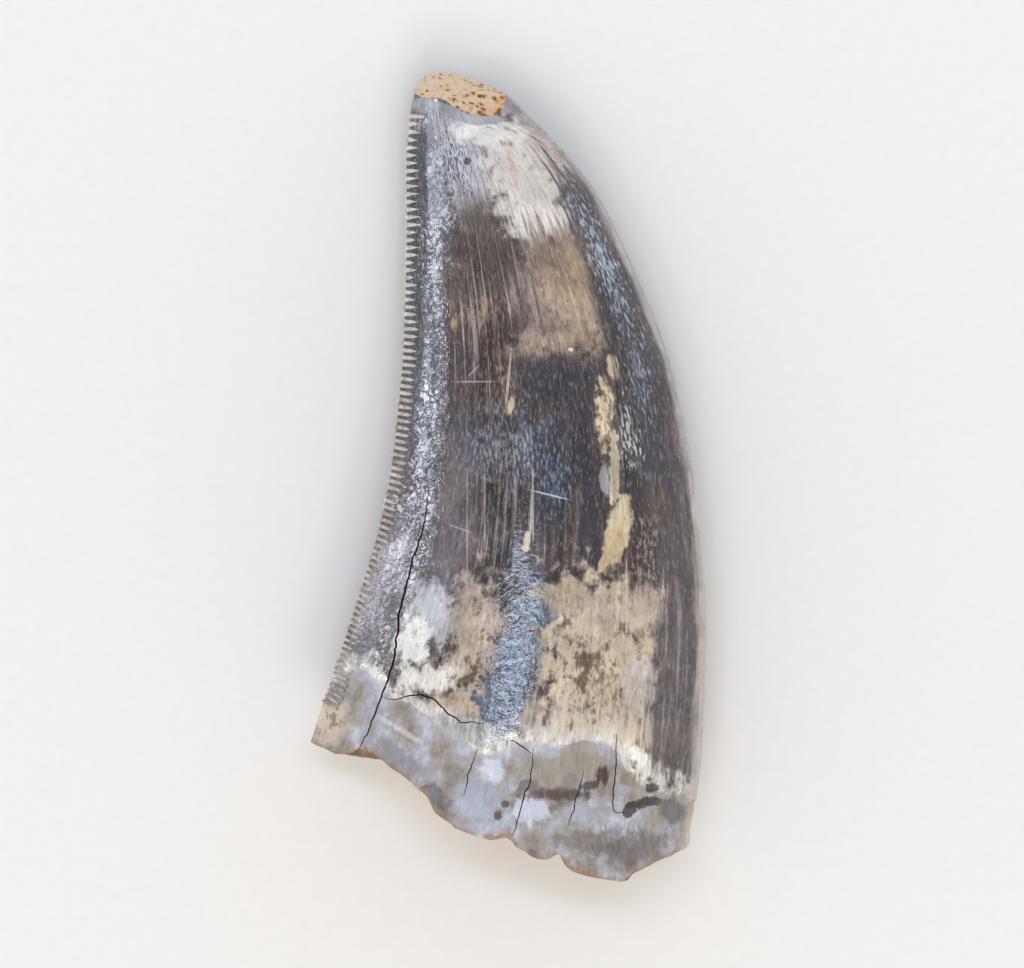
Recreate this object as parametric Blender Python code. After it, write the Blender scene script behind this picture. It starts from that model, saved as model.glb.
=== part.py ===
"""A tyrannosaur tooth, lying on its side on a small flat spot.

The tip points along +Y. The rear cutting edge, with the large serrations, faces -X and the front edge
faces +X. The origin is on the flat spot, near its middle, and +Z points up through the side that is seen.
Sections across the tooth run from the rear edge (share 0) to the front edge (share 1). Heights along it
run from the broken base (0) to the broken tip (1).
"""

import math

import bpy
import numpy as np
from mathutils import Vector

MM = 0.001

# Outlines of the two edges seen from above, from base to tip, in mm
REAR_EDGE = [
    (-15.8, -15.3), (-12.9, -6.2), (-11.6, -2.1), (-10.6, 2.1), (-10.0, 6.5), (-9.5, 12.5), (-9.3, 20.0),
    (-9.3, 25.5), (-8.7, 29.5),
]
FRONT_EDGE = [
    (10.3, -22.3), (11.1, -14.0), (11.3, -7.0), (10.9, -0.7), (10.0, 6.0), (8.5, 11.8), (6.0, 18.0),
    (3.0, 23.6), (-2.3, 29.4),
]

# Greatest thickness of the tooth at each height, in mm
THICKNESS = [(0.0, 15.2), (0.25, 14.2), (0.5, 12.2), (0.75, 9.3), (1.0, 5.9)]
UPPER_SHARE = 0.56  # of the thickness, above the level of the two edges
UPPER_SHAPE = {"flank": 0.34, "hollow": 1.15, "nose": 0.5}
LOWER_SHAPE = {"flank": 0.36, "hollow": 1.05, "nose": 0.5}
KEEL_HALF = 0.32  # mm, half the thickness of the blunt rear edge that carries the serrations

# The broken base: how far its rim hangs below the line between its corners, in mm, at shares of the width
BASE_RIM_ABOVE = [
    (0.0, 0.0), (0.045, 0.2), (0.13, -0.5), (0.2, 0.1), (0.3, 1.3), (0.34, 2.6), (0.42, 3.15), (0.53, 3.0),
    (0.6, 3.6), (0.66, 3.2), (0.74, 3.9), (0.83, 3.65), (0.92, 1.6), (1.0, 0.0),
]
BASE_RIM_BELOW = [
    (0.0, 0.0), (0.2, -0.6), (0.35, 0.3), (0.5, 0.9), (0.62, 0.4), (0.8, 1.5), (0.93, 0.8), (1.0, 0.0),
]
BASE_REACH = 0.16  # of the height, over which the rim's form dies away
BASE_DISH = 1.3  # mm, how far the broken face is hollowed
PULP_PIT = {"radius": 0.26, "depth": 2.2}  # share of the section, mm

# The broken tip slopes: its rim drops below the line between its corners on the upper side, and rises on
# the lower one
TIP_RIM_ABOVE = [
    (0.0, 0.0), (0.12, 0.4), (0.28, 0.5), (0.44, 1.1), (0.6, 1.5), (0.76, 1.65), (0.9, 1.5), (1.0, 0.0),
]
TIP_RIM_BELOW = [(0.0, 0.0), (0.08, -0.8), (0.32, -1.45), (0.6, -1.05), (0.85, -0.4), (1.0, 0.0)]
TIP_REACH = 0.10
TIP_DOME = 0.3

# A flake lost from the front side of the tip: a point on its flat scar, which way the scar faces, and the
# size of the block that takes it off, in mm
FLAKE_POINT = (-0.45, 27.5, 3.6)
FLAKE_NORMAL = (0.69, 0.71, 0.14)
FLAKE_BLOCK = 9.0

FLAT_DEPTH = 0.28  # mm, how deep the flat spot cuts the lower side
BELLY_RADIUS = 420.0  # mm, of the lower side along its length

# Serrations: the large ones of the rear edge and the lower ones of the front edge, in mm. A bar starts at
# its root, inside the edge and just under the skin, stands proud of the edge, and ends outside it in a
# rounded chisel.
REAR_SERRATION = {
    "rise": 0.20, "root": 0.55, "root_half": 1.5, "sunk": 0.06, "proud": 0.14, "thick_share": 0.64,
}
REAR_PITCH = (0.42, 0.585)  # at the base and at the tip
REAR_SPAN = (0.065, 0.965)  # of the height
SPAN_EASE = 0.02  # of the height, over which the rear edge steps in to make room for the serrations
FRONT_SERRATION = {
    "rise": 0.10, "root": 0.30, "root_half": 0.4, "sunk": 0.08, "proud": 0.04, "thick_share": 0.62,
}
FRONT_PITCH = (0.58, 0.58)
FRONT_SPAN = (0.60, 0.86)
NECK = {"rise_share": 0.3, "width": 0.9}  # a serration's middle, as shares of its rise and of its width
CHISEL = {"width": 0.55, "half": 0.16}  # its outer end: share of the width, and half its thickness in mm
TANGENT_STEP = 0.004  # of the height, to each side of a serration, to find the direction of the edge

SIDE_COLUMNS = 22  # points of a section on each side of the edges
COLUMN_BUNCHING = 1.3
CROWN_ROWS = 46
TIP_ROWS = 5
BASE_RINGS = [0.9, 0.72, 0.52]  # sizes of the rings on the broken face, as shares of the rim
PIT_RINGS = [1.1, 0.9, 0.6, 0.25]  # sizes of the rings in the pit of the pulp, as shares of its radius
PIT_MOUTH = 1.15  # share of the pit's radius at which its wall starts to fall
CURVE_STEPS = 40  # points between two given points of a smooth curve
CURVE_POINTS = 400  # even points of a finished curve

ENAMEL_COLOUR = (0.13, 0.12, 0.125, 1.0)
ENAMEL_ROUGHNESS = 0.35
SHARP_ANGLE = math.radians(35)


def clear_scene():
    for item in list(bpy.data.objects):
        bpy.data.objects.remove(item, do_unlink=True)


def smooth_line(points):
    """A Catmull-Rom curve through the points, as points that lie evenly along it."""
    given = np.array(points, float)
    ends = np.vstack([2 * given[0] - given[1], given, 2 * given[-1] - given[-2]])
    steps = np.linspace(0, 1, CURVE_STEPS, endpoint=False)[:, None]
    runs = []
    for a, b, c, d in zip(ends, ends[1:], ends[2:], ends[3:]):
        runs.append(0.5 * (2 * b + (c - a) * steps + (2 * a - 5 * b + 4 * c - d) * steps**2
                           + (3 * b - a - 3 * c + d) * steps**3))
    curve = np.vstack([*runs, given[-1:]])
    along = np.concatenate([[0], np.cumsum(np.linalg.norm(np.diff(curve, axis=0), axis=1))])
    even = np.linspace(0, along[-1], CURVE_POINTS)
    return np.column_stack([np.interp(even, along, curve[:, i]) for i in range(curve.shape[1])])


def on_line(line, shares):
    """Points of an even line at shares of its length."""
    at = np.linspace(0, 1, len(line))
    return np.stack([np.interp(shares, at, line[:, i]) for i in range(line.shape[1])], axis=-1)


def read_off(pairs, at):
    """A smooth curve through (position, value) pairs, read at the given positions."""
    line = smooth_line(pairs)
    return np.interp(at, line[:, 0], line[:, 1])


def faded(share, reach):
    """1 at share 0, easing to 0 at reach."""
    left = np.clip(1 - share / reach, 0, 1)
    return left * left * (3 - 2 * left)


def section(share, shape):
    """Height of the side above the edges, as a share of the greatest.

    It has a hollow flank by the rear edge and a round nose at the front.
    """
    def raw(s):
        return (1 - np.exp(-((s / shape["flank"]) ** shape["hollow"]))) * (1 - s) ** shape["nose"]

    return raw(share) / raw(np.linspace(0, 1, CURVE_POINTS)).max()


def edge_level(height, y):
    """Level of the two cutting edges over the floor, in mm. The lower side lies nearly straight along it."""
    below = read_off(THICKNESS, height) * (1 - UPPER_SHARE)
    return below - FLAT_DEPTH + y * y / (2 * BELLY_RADIUS)


def half_thickness(height, share, upper):
    """How far the skin lies above or below the level of the edges, in mm."""
    half = np.where(upper, UPPER_SHARE, 1 - UPPER_SHARE) * read_off(THICKNESS, height)
    rise = np.where(upper, section(share, UPPER_SHAPE), section(share, LOWER_SHAPE))
    return KEEL_HALF * np.sqrt(1 - share) + (half - KEEL_HALF) * rise


def edge_points(height):
    """Points of the body's rear and front edges at a height. The serrations stand outside the rear one."""
    rear = on_line(smooth_line(REAR_EDGE), height)
    rear[..., 0] += REAR_SERRATION["rise"] * serrated(height)
    return rear, on_line(smooth_line(FRONT_EDGE), height)


def section_ring():
    """Shares of the width of the points round a section, and which of them are on the upper side.

    They start on the blunt rear edge, meet in one point on the front edge and come back below.
    """
    side = np.sin(math.pi / 2 * np.arange(SIDE_COLUMNS) / SIDE_COLUMNS) ** COLUMN_BUNCHING
    return np.concatenate([side, [1.0], side[::-1]]), np.arange(2 * SIDE_COLUMNS + 1) <= SIDE_COLUMNS


def crown_point(height, share, upper):
    """Points on the skin in mm."""
    rear, front = edge_points(height)
    flat = rear + (front - rear) * share[..., None]
    z = np.where(upper, 1, -1) * half_thickness(height, share, upper)
    y = flat[..., 1] + rim_shift(height, share, upper)
    return np.stack([flat[..., 0], y, edge_level(height, y) + z], axis=-1)


def serrated(height):
    """1 where the rear edge carries serrations, 0 at its two ends."""
    low, high = REAR_SPAN
    return np.clip((height - low) / SPAN_EASE, 0, 1) * np.clip((high - height) / SPAN_EASE, 0, 1)


def rim_shift(height, share, upper):
    """How far a point moves along +Y, so that the base and the tip have the form of their broken rims."""
    base = np.where(upper, read_off(BASE_RIM_ABOVE, share), read_off(BASE_RIM_BELOW, share))
    tip = np.where(upper, read_off(TIP_RIM_ABOVE, share), read_off(TIP_RIM_BELOW, share))
    return -base * faded(height, BASE_REACH) - tip * faded(1 - height, TIP_REACH)


def tip_rows(rim):
    """Rings from the rim of the broken tip to its middle, gently domed."""
    middle = rim.mean(axis=0)
    for step in range(1, TIP_ROWS):
        left = 1 - step / TIP_ROWS
        ring = middle + (rim - middle) * left
        ring[:, 1] += TIP_DOME * (1 - left * left)
        yield ring
    yield middle[None] + (0, TIP_DOME, 0)


def base_rows(rim):
    """Rings from the rim of the broken base to its middle: a shallow dish with the pulp's pit in it."""
    middle = rim.mean(axis=0)
    pit = PULP_PIT["radius"]
    for left in BASE_RINGS + [pit * share for share in PIT_RINGS]:
        ring = middle + (rim - middle) * left
        ring[:, 1] += BASE_DISH * (1 - left * left) + PULP_PIT["depth"] * faded(left, pit * PIT_MOUTH)
        yield ring
    yield middle[None] + (0, BASE_DISH + PULP_PIT["depth"], 0)


def flatten_underside(points):
    points[:, 2] = np.maximum(points[:, 2], 0)
    return points


def ring_faces(start, other, count):
    """Faces between two rings of count points that start at these indices."""
    steps = [(i, (i + 1) % count) for i in range(count)]
    return [(start + i, start + j, other + j, other + i) for i, j in steps]


def fan_faces(start, pole, count):
    return [(start + i, start + (i + 1) % count, pole) for i in range(count)]


def crown_mesh():
    """One closed skin, from the middle of the broken base up the crown to the middle of the broken tip."""
    share, upper = section_ring()
    columns = len(share)
    heights = np.linspace(0, 1, CROWN_ROWS + 1)
    skin = [crown_point(np.full(columns, height), share, upper) for height in heights]
    bottom = list(base_rows(skin[0]))
    rings = [*reversed(bottom[:-1]), *skin, *list(tip_rows(skin[-1]))[:-1]]
    tip_middle = list(tip_rows(skin[-1]))[-1]
    points = np.vstack([*rings, bottom[-1], tip_middle])
    points = flatten_underside(points)
    faces = []
    for row in range(len(rings) - 1):
        faces += ring_faces(row * columns, (row + 1) * columns, columns)
    base_pole, tip_pole = len(points) - 2, len(points) - 1
    faces += [face[::-1] for face in fan_faces(0, base_pole, columns)]
    faces += fan_faces((len(rings) - 1) * columns, tip_pole, columns)
    mesh = bpy.data.meshes.new("tooth")
    mesh.from_pydata([tuple(p * MM) for p in points], [], [face[::-1] for face in faces])
    mesh.shade_smooth()
    mesh.set_sharp_from_angle(angle=SHARP_ANGLE)
    return mesh


def stations(span, pitch, length):
    """Heights of a row of serrations. The pitch, in mm, changes evenly from one end of it to the other."""
    height, found = span[0], []
    while height < span[1]:
        found.append(height)
        along = (height - span[0]) / (span[1] - span[0])
        height += (pitch[0] + (pitch[1] - pitch[0]) * along) / length
    return found


def serration(edge_point, outward, along, size, thick, flanks):
    """Corners of one serration, ring by ring from its root to its outer end.

    flanks are the heights of the skin at its root, above and below the edge.
    """
    neck_half = KEEL_HALF + size["proud"]
    stages = [
        (-size["root"], 1.0, *(min(flank - size["sunk"], size["root_half"]) for flank in flanks)),
        (size["rise"] * NECK["rise_share"], NECK["width"], neck_half, neck_half),
        (size["rise"], CHISEL["width"], CHISEL["half"], CHISEL["half"]),
    ]
    corners = []
    for out, wide, above, below in stages:
        for a, z in ((-1, -below), (1, -below), (1, above), (-1, above)):
            aside = along * a * wide * thick / 2
            corners.append(edge_point + outward * out + aside + np.array((0, 0, z)))
    return corners


def edge_point(height, edge_share):
    """The middle of the rear or the front edge at a height."""
    point = crown_point(np.array([height]), edge_share, np.array([True]))[0]
    point[2] = edge_level(np.array([height]), point[1:2])[0]
    return point


def serration_row(name, side, span, pitch, size):
    """A row of closed bars along the rear edge (side -1) or the front edge (side 1), as a helper."""
    edge_share = np.array([0.0 if side < 0 else 1.0])
    line = smooth_line(REAR_EDGE if side < 0 else FRONT_EDGE)
    length = np.linalg.norm(np.diff(line, axis=0), axis=1).sum()
    corners, faces = [], []
    for height in stations(span, pitch, length):
        steps = (-TANGENT_STEP, 0, TANGENT_STEP)
        low, here, high = (edge_point(height + step, edge_share) for step in steps)
        along = (high - low) / np.linalg.norm(high - low)
        outward = np.cross(along, (0, 0, side))
        outward /= np.linalg.norm(outward)
        rear, front = edge_points(np.array([height]))
        root = size["root"] / np.linalg.norm(front - rear)
        root_share = np.array([root if side < 0 else 1 - root])
        sides = (np.array([up]) for up in (True, False))
        flanks = [half_thickness(np.array([height]), root_share, up)[0] for up in sides]
        here_pitch = np.interp(height, span, pitch)
        first = len(corners)
        corners += serration(here, outward, along, size, here_pitch * size["thick_share"], flanks)
        bar = ring_faces(first, first + 4, 4) + ring_faces(first + 4, first + 8, 4)
        bar += [tuple(first + i for i in (3, 2, 1, 0)), tuple(first + i for i in (8, 9, 10, 11))]
        faces += bar if side > 0 else [face[::-1] for face in bar]
    return helper_object(name, corners, faces)


def flake_block():
    """A block whose lower face lies on the scar of the lost flake."""
    half = FLAKE_BLOCK / 2
    turn = Vector(FLAKE_NORMAL).to_track_quat("Z", "Y")
    corners = []
    for z in (0, FLAKE_BLOCK):
        for x, y in ((-half, -half), (half, -half), (half, half), (-half, half)):
            corners.append(np.array(FLAKE_POINT) + np.array(turn @ Vector((x, y, z))))
    return helper_object("lost_flake", corners, [*ring_faces(0, 4, 4), (3, 2, 1, 0), (4, 5, 6, 7)])


def helper_object(name, corners, faces):
    mesh = bpy.data.meshes.new(name)
    mesh.from_pydata([tuple(np.array(c) * MM) for c in corners], [], faces)
    helper = bpy.data.objects.new(name, mesh)
    bpy.context.scene.collection.objects.link(helper)
    helper.hide_render = True
    helper.display_type = "WIRE"
    return helper


def combine(tooth, helper, operation):
    step = tooth.modifiers.new(helper.name, "BOOLEAN")
    step.operation = operation
    step.solver = "EXACT"
    step.object = helper


def enamel():
    material = bpy.data.materials.new("stained fossil enamel")
    material.use_nodes = True
    shader = material.node_tree.nodes["Principled BSDF"]
    shader.inputs["Base Color"].default_value = ENAMEL_COLOUR
    shader.inputs["Roughness"].default_value = ENAMEL_ROUGHNESS
    shader.inputs["Metallic"].default_value = 0.0
    return material


def main():
    clear_scene()
    mesh = crown_mesh()
    mesh.materials.append(enamel())
    tooth = bpy.data.objects.new("tooth", mesh)
    bpy.context.scene.collection.objects.link(tooth)
    combine(tooth, flake_block(), "DIFFERENCE")
    combine(tooth, serration_row("rear_serrations", -1, REAR_SPAN, REAR_PITCH, REAR_SERRATION), "UNION")
    combine(tooth, serration_row("front_serrations", 1, FRONT_SPAN, FRONT_PITCH, FRONT_SERRATION), "UNION")


main()
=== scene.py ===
"""The looks of a fossil tyrannosaur tooth that lies on its side, seen from above.

Lengths are in millimetres until a finished mesh is scaled to metres. The tip points along +Y, the rear edge
faces -X and the front edge +X. Heights run from the broken base (0) to the broken tip (1), and shares of the
width from the rear edge (0) to the front edge (1).
"""

import math

import bpy
import numpy as np
from mathutils import Matrix


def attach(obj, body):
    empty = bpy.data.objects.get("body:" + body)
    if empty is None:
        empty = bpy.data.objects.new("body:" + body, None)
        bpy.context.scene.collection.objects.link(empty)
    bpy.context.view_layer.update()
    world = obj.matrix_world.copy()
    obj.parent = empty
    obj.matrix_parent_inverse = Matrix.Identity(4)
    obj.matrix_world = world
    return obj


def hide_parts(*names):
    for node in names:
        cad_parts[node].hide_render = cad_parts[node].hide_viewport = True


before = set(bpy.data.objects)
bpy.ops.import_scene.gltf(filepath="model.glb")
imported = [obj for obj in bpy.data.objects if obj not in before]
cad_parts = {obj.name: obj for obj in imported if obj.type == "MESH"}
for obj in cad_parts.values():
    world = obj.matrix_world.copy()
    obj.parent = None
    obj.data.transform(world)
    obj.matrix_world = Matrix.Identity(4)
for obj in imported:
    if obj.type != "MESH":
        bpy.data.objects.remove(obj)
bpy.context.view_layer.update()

# Crown and root. One piece of bone mineral: a cone of dentine that grew under a thin skin of enamel and was
# stained in the ground. Two cutting edges run up it. It is swept here along their lines, with a section that
# is hollow beside the rear edge and full at the front.

MM = 0.001

REAR_EDGE = [
    (-15.8, -15.3), (-12.9, -6.2), (-11.6, -2.1), (-10.6, 2.1), (-10.0, 6.5), (-9.5, 12.5), (-9.3, 20.0),
    (-9.3, 25.5), (-8.7, 29.5),
]
FRONT_EDGE = [
    (10.3, -22.3), (11.1, -14.0), (11.3, -7.0), (10.9, -0.7), (10.0, 6.0), (8.5, 11.8), (6.0, 18.0),
    (3.0, 23.6), (-2.3, 29.4),
]
EDGE_STEPS = 40
THICKNESS = [(0.0, 15.2), (0.25, 14.2), (0.5, 12.2), (0.75, 9.3), (1.0, 5.9)]
UPPER_SHARE = 0.56
UPPER_SHAPE = {"flank": 0.34, "hollow": 1.15, "nose": 0.5}
LOWER_SHAPE = {"flank": 0.36, "hollow": 1.05, "nose": 0.5}
KEEL_HALF = 0.32
REAR_INSET = 0.11
REAR_SPAN = (0.065, 0.965)
SPAN_EASE = 0.02
FLAT_DEPTH = 0.28
BELLY_RADIUS = 420.0

# How far the broken rims hang below the line between their corners, and how far up or down that is felt
BASE_RIM_ABOVE = [
    (0.0, 0.0), (0.045, 0.2), (0.116, -0.2), (0.13, -0.55), (0.18, -0.25), (0.2, 0.07), (0.25, 0.57),
    (0.274, 0.95), (0.303, 1.32), (0.318, 1.8), (0.326, 2.3), (0.364, 2.75), (0.42, 3.17), (0.472, 3.2),
    (0.52, 2.78), (0.532, 3.14), (0.573, 3.4), (0.595, 3.62), (0.636, 3.27), (0.657, 2.95), (0.67, 3.5),
    (0.72, 3.93), (0.757, 3.88), (0.825, 3.69), (0.847, 3.06), (0.905, 1.9), (0.95, 1.1), (0.984, 0.46),
    (1.0, 0.0),
]
BASE_RIM_BELOW = [
    (0.0, 0.0), (0.2, -0.6), (0.35, 0.3), (0.5, 0.9), (0.62, 0.4), (0.8, 1.5), (0.93, 0.8), (1.0, 0.0),
]
BASE_REACH = 0.16
TIP_RIM_ABOVE = [
    (0.0, 0.0), (0.12, 0.4), (0.28, 0.5), (0.44, 1.1), (0.6, 1.5), (0.76, 1.65), (0.9, 1.5), (1.0, 0.0),
]
TIP_RIM_BELOW = [(0.0, 0.0), (0.08, -0.8), (0.32, -1.45), (0.6, -1.05), (0.85, -0.4), (1.0, 0.0)]
TIP_REACH = 0.10

# The dished base with the pulp's pit, and the gently domed tip
BASE_DISH = 1.3
PULP_PIT = {"radius": 0.3, "depth": 2.2}
TIP_DOME = 0.3

# Where the enamel ends, as (x, y) on both sides, how ragged and soft that line is, and how far it stands up
ENAMEL_EDGE = [
    (-16, -11.5), (-12.5, -10.6), (-10.3, -12.0), (-7.4, -13.4), (-5.2, -14.6), (-3.6, -15.9), (-1.5, -15.3),
    (1.0, -15.4), (4.2, -15.2), (5.6, -16.8), (7.2, -18.2), (10.5, -19.2),
]
ENAMEL_EDGE_SPAN = (-16, 12)
RAGGED = 1.1
STEP_EASE = 0.15
ENAMEL_STEP = 0.13

# The finer relief: lengthwise swells, the rough root, the rough break and the pores of the tip. It fades out
# at the rear edge, which stays sharp, and near the floor, where the tooth rests.
SWELL = 0.12
ROOT_RELIEF = (-0.22, 0.12)
BREAK_RELIEF = 0.75
PORE_DEPTH = 0.16
SHARP_SHARE = 0.03
OFF_FLOOR = 0.3

# The axes that patterns follow: about a mm each across and along, and a gap between the two sides' patterns
GRAIN_WIDTH = 24
GRAIN_LENGTH = 55
SIDES_APART = 9

# The cylinder that the skin is drawn from. The power crowds its columns towards the rear edge. The last three
# tell its upper half, its two rims and its side from the rest.
COLUMNS = 272
ROWS = 236
CAP_RINGS = 24
CROWDING = 1.3
HAIR = 1e-5
RIM_HEIGHT = 0.0005
SIDE_REACH = 0.985


def add(tree, kind, inputs=(), **settings):
    """Adds a node with its settings. Its inputs, in order or by name, are values, sockets or nodes."""
    node = tree.nodes.new(kind)
    for name, value in settings.items():
        setattr(node, name, value)
    sockets = [socket for socket in node.inputs if socket.enabled]
    if isinstance(inputs, dict):
        by_name = {socket.name: socket for socket in reversed(sockets)}
        sockets = [by_name[name] for name in inputs]
        inputs = inputs.values()
    for socket, value in zip(sockets, inputs):
        if isinstance(value, bpy.types.Node):
            value = next(output for output in value.outputs if output.enabled)
        if isinstance(value, bpy.types.NodeSocket):
            tree.links.new(value, socket)
        elif value is not None:
            socket.default_value = value
    return node


def draw_curve(node, points):
    """Gives a Float Curve node its points."""
    node.mapping.use_clip = False
    line = node.mapping.curves[0]
    for _ in points[2:]:
        line.points.new(0, 0)
    for point, place in zip(line.points, points):
        point.location = place
        point.handle_type = "AUTO_CLAMPED"
    node.mapping.update()
    return node


def new_tree(name, inputs, outputs):
    """A geometry tree with named inputs and outputs, each a (name, socket type) pair, and its input node."""
    tree = bpy.data.node_groups.new(name, "GeometryNodeTree")
    for label, kind in inputs:
        tree.interface.new_socket(label, in_out="INPUT", socket_type="NodeSocket" + kind)
    for label, kind in outputs:
        tree.interface.new_socket(label, in_out="OUTPUT", socket_type="NodeSocket" + kind)
    return tree, tree.nodes.new("NodeGroupInput").outputs


def helper(name, data):
    """An object that only a tree or a Boolean reads. It is removed before the end."""
    item = bpy.data.objects.new(name, data)
    bpy.context.scene.collection.objects.link(item)
    item.hide_render = True
    return item


def guide_line(name, points):
    """A line through these points, as a helper object."""
    line = bpy.data.curves.new(name, "CURVE")
    line.dimensions = "3D"
    spline = line.splines.new("POLY")
    spline.points.add(len(points) - 1)
    for point, (x, y) in zip(spline.points, points):
        point.co = (x, y, 0.0, 1.0)
    return helper(name, line)


def grown(name, tree, values):
    """The plain mesh, as a helper object, that a tree makes from these values of its named inputs."""
    item = helper(name, bpy.data.meshes.new(name))
    step = item.modifiers.new(name, "NODES")
    step.node_group = tree
    inputs = [socket for socket in tree.interface.items_tree if socket.in_out == "INPUT"]
    identifiers = {socket.name: socket.identifier for socket in inputs}
    for label, value in values.items():
        step[identifiers[label]] = value
    reader = bpy.context.evaluated_depsgraph_get()
    mesh = bpy.data.meshes.new_from_object(item.evaluated_get(reader), depsgraph=reader)
    item.modifiers.remove(step)
    item.data = mesh
    return item


def skin_tree():
    """Where a point of the skin lies, for its height, its share of the width, and 1 for the upper side."""
    tree, given = new_tree(
        "skin", [("Rear edge", "Object"), ("Front edge", "Object"), ("Height", "Float"), ("Share", "Float"),
                 ("Above", "Float")], [("Position", "Vector"), ("Level", "Float")])
    height, share, above = given["Height"], given["Share"], given["Above"]
    lines = []
    for edge in ("Rear edge", "Front edge"):
        shape = add(tree, "GeometryNodeObjectInfo", [given[edge]]).outputs["Geometry"]
        smooth = add(tree, "GeometryNodeCurveSplineType", [shape], spline_type="CATMULL_ROM")
        fine = add(tree, "GeometryNodeSetSplineResolution", [smooth, True, EDGE_STEPS])
        lines.append(add(tree, "GeometryNodeSampleCurve", {"Curves": fine, "Factor": height}, mode="FACTOR",
                         use_all_curves=True).outputs["Position"])

    # The body's rear edge steps in where serrations stand outside it
    low = add(tree, "ShaderNodeMapRange", [height, REAR_SPAN[0], REAR_SPAN[0] + SPAN_EASE, 0, REAR_INSET])
    high = add(tree, "ShaderNodeMapRange", [height, REAR_SPAN[1] - SPAN_EASE, REAR_SPAN[1], 1, 0])
    inset = add(tree, "ShaderNodeMath", [low, high], operation="MULTIPLY")
    rear = add(tree, "ShaderNodeVectorMath", [lines[0], add(tree, "ShaderNodeCombineXYZ", [inset])])
    flat = add(tree, "ShaderNodeMix", [share, rear, lines[1]], data_type="VECTOR", clamp_factor=False)
    flat_axes = add(tree, "ShaderNodeSeparateXYZ", [flat]).outputs

    # The rims of the two broken ends
    rims = []
    for sides in ((BASE_RIM_BELOW, BASE_RIM_ABOVE), (TIP_RIM_BELOW, TIP_RIM_ABOVE)):
        curves = [draw_curve(add(tree, "ShaderNodeFloatCurve", [1, share]), side) for side in sides]
        rims.append(add(tree, "ShaderNodeMix", [above, *curves], data_type="FLOAT"))
    base_fade = add(tree, "ShaderNodeMapRange", [height, 0, BASE_REACH, 1, 0],
                    interpolation_type="SMOOTHSTEP")
    tip_fade = add(tree, "ShaderNodeMapRange", [height, 1 - TIP_REACH, 1, 0, 1],
                   interpolation_type="SMOOTHSTEP")
    tip_drop = add(tree, "ShaderNodeMath", [rims[1], tip_fade], operation="MULTIPLY")
    drop = add(tree, "ShaderNodeMath", [rims[0], base_fade, tip_drop], operation="MULTIPLY_ADD")
    y = add(tree, "ShaderNodeMath", [flat_axes[1], drop], operation="SUBTRACT")

    # The level of the edges: the lower side lies nearly straight along the floor
    thickness = draw_curve(add(tree, "ShaderNodeFloatCurve", [1, height]), THICKNESS)
    belly = add(tree, "ShaderNodeMath", [y, y], operation="MULTIPLY")
    belly = add(tree, "ShaderNodeMath", [belly, 1 / (2 * BELLY_RADIUS), -FLAT_DEPTH],
                operation="MULTIPLY_ADD")
    level = add(tree, "ShaderNodeMath", [thickness, 1 - UPPER_SHARE, belly], operation="MULTIPLY_ADD")

    # The height of the skin above or below that level: a hollow flank, then a round nose
    rest = add(tree, "ShaderNodeMath", [1, share], operation="SUBTRACT", use_clamp=True)
    nose = add(tree, "ShaderNodeMath", [rest, UPPER_SHAPE["nose"]], operation="POWER")
    rises = []
    for shape in (LOWER_SHAPE, UPPER_SHAPE):
        shares = np.linspace(0, 1, 400)
        profile = 1 - np.exp(-((shares / shape["flank"]) ** shape["hollow"]))
        peak = float((profile * (1 - shares) ** shape["nose"]).max())
        flank = add(tree, "ShaderNodeMath", [share, shape["flank"]], operation="DIVIDE")
        flank = add(tree, "ShaderNodeMath", [flank, shape["hollow"]], operation="POWER")
        flank = add(tree, "ShaderNodeMath", [flank, -1], operation="MULTIPLY")
        flank = add(tree, "ShaderNodeMath", [flank], operation="EXPONENT")
        flank = add(tree, "ShaderNodeMath", [1, flank], operation="SUBTRACT")
        flank = add(tree, "ShaderNodeMath", [flank, nose], operation="MULTIPLY")
        rises.append(add(tree, "ShaderNodeMath", [flank, peak], operation="DIVIDE"))
    rise = add(tree, "ShaderNodeMix", [above, *rises], data_type="FLOAT")
    side_share = add(tree, "ShaderNodeMapRange", [above, 0, 1, 1 - UPPER_SHARE, UPPER_SHARE])
    half = add(tree, "ShaderNodeMath", [thickness, side_share, -KEEL_HALF], operation="MULTIPLY_ADD")
    half = add(tree, "ShaderNodeMath", [half, rise], operation="MULTIPLY")
    half = add(tree, "ShaderNodeMath", [nose, KEEL_HALF, half], operation="MULTIPLY_ADD")
    side = add(tree, "ShaderNodeMapRange", [above, 0, 1, -1, 1])
    z = add(tree, "ShaderNodeMath", [half, side, level], operation="MULTIPLY_ADD")
    z = add(tree, "ShaderNodeMath", [z, 0], operation="MAXIMUM")
    place = add(tree, "ShaderNodeCombineXYZ", [flat_axes[0], y, z])
    add(tree, "NodeGroupOutput", [place, level])
    return tree


skin = skin_tree()


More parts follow.
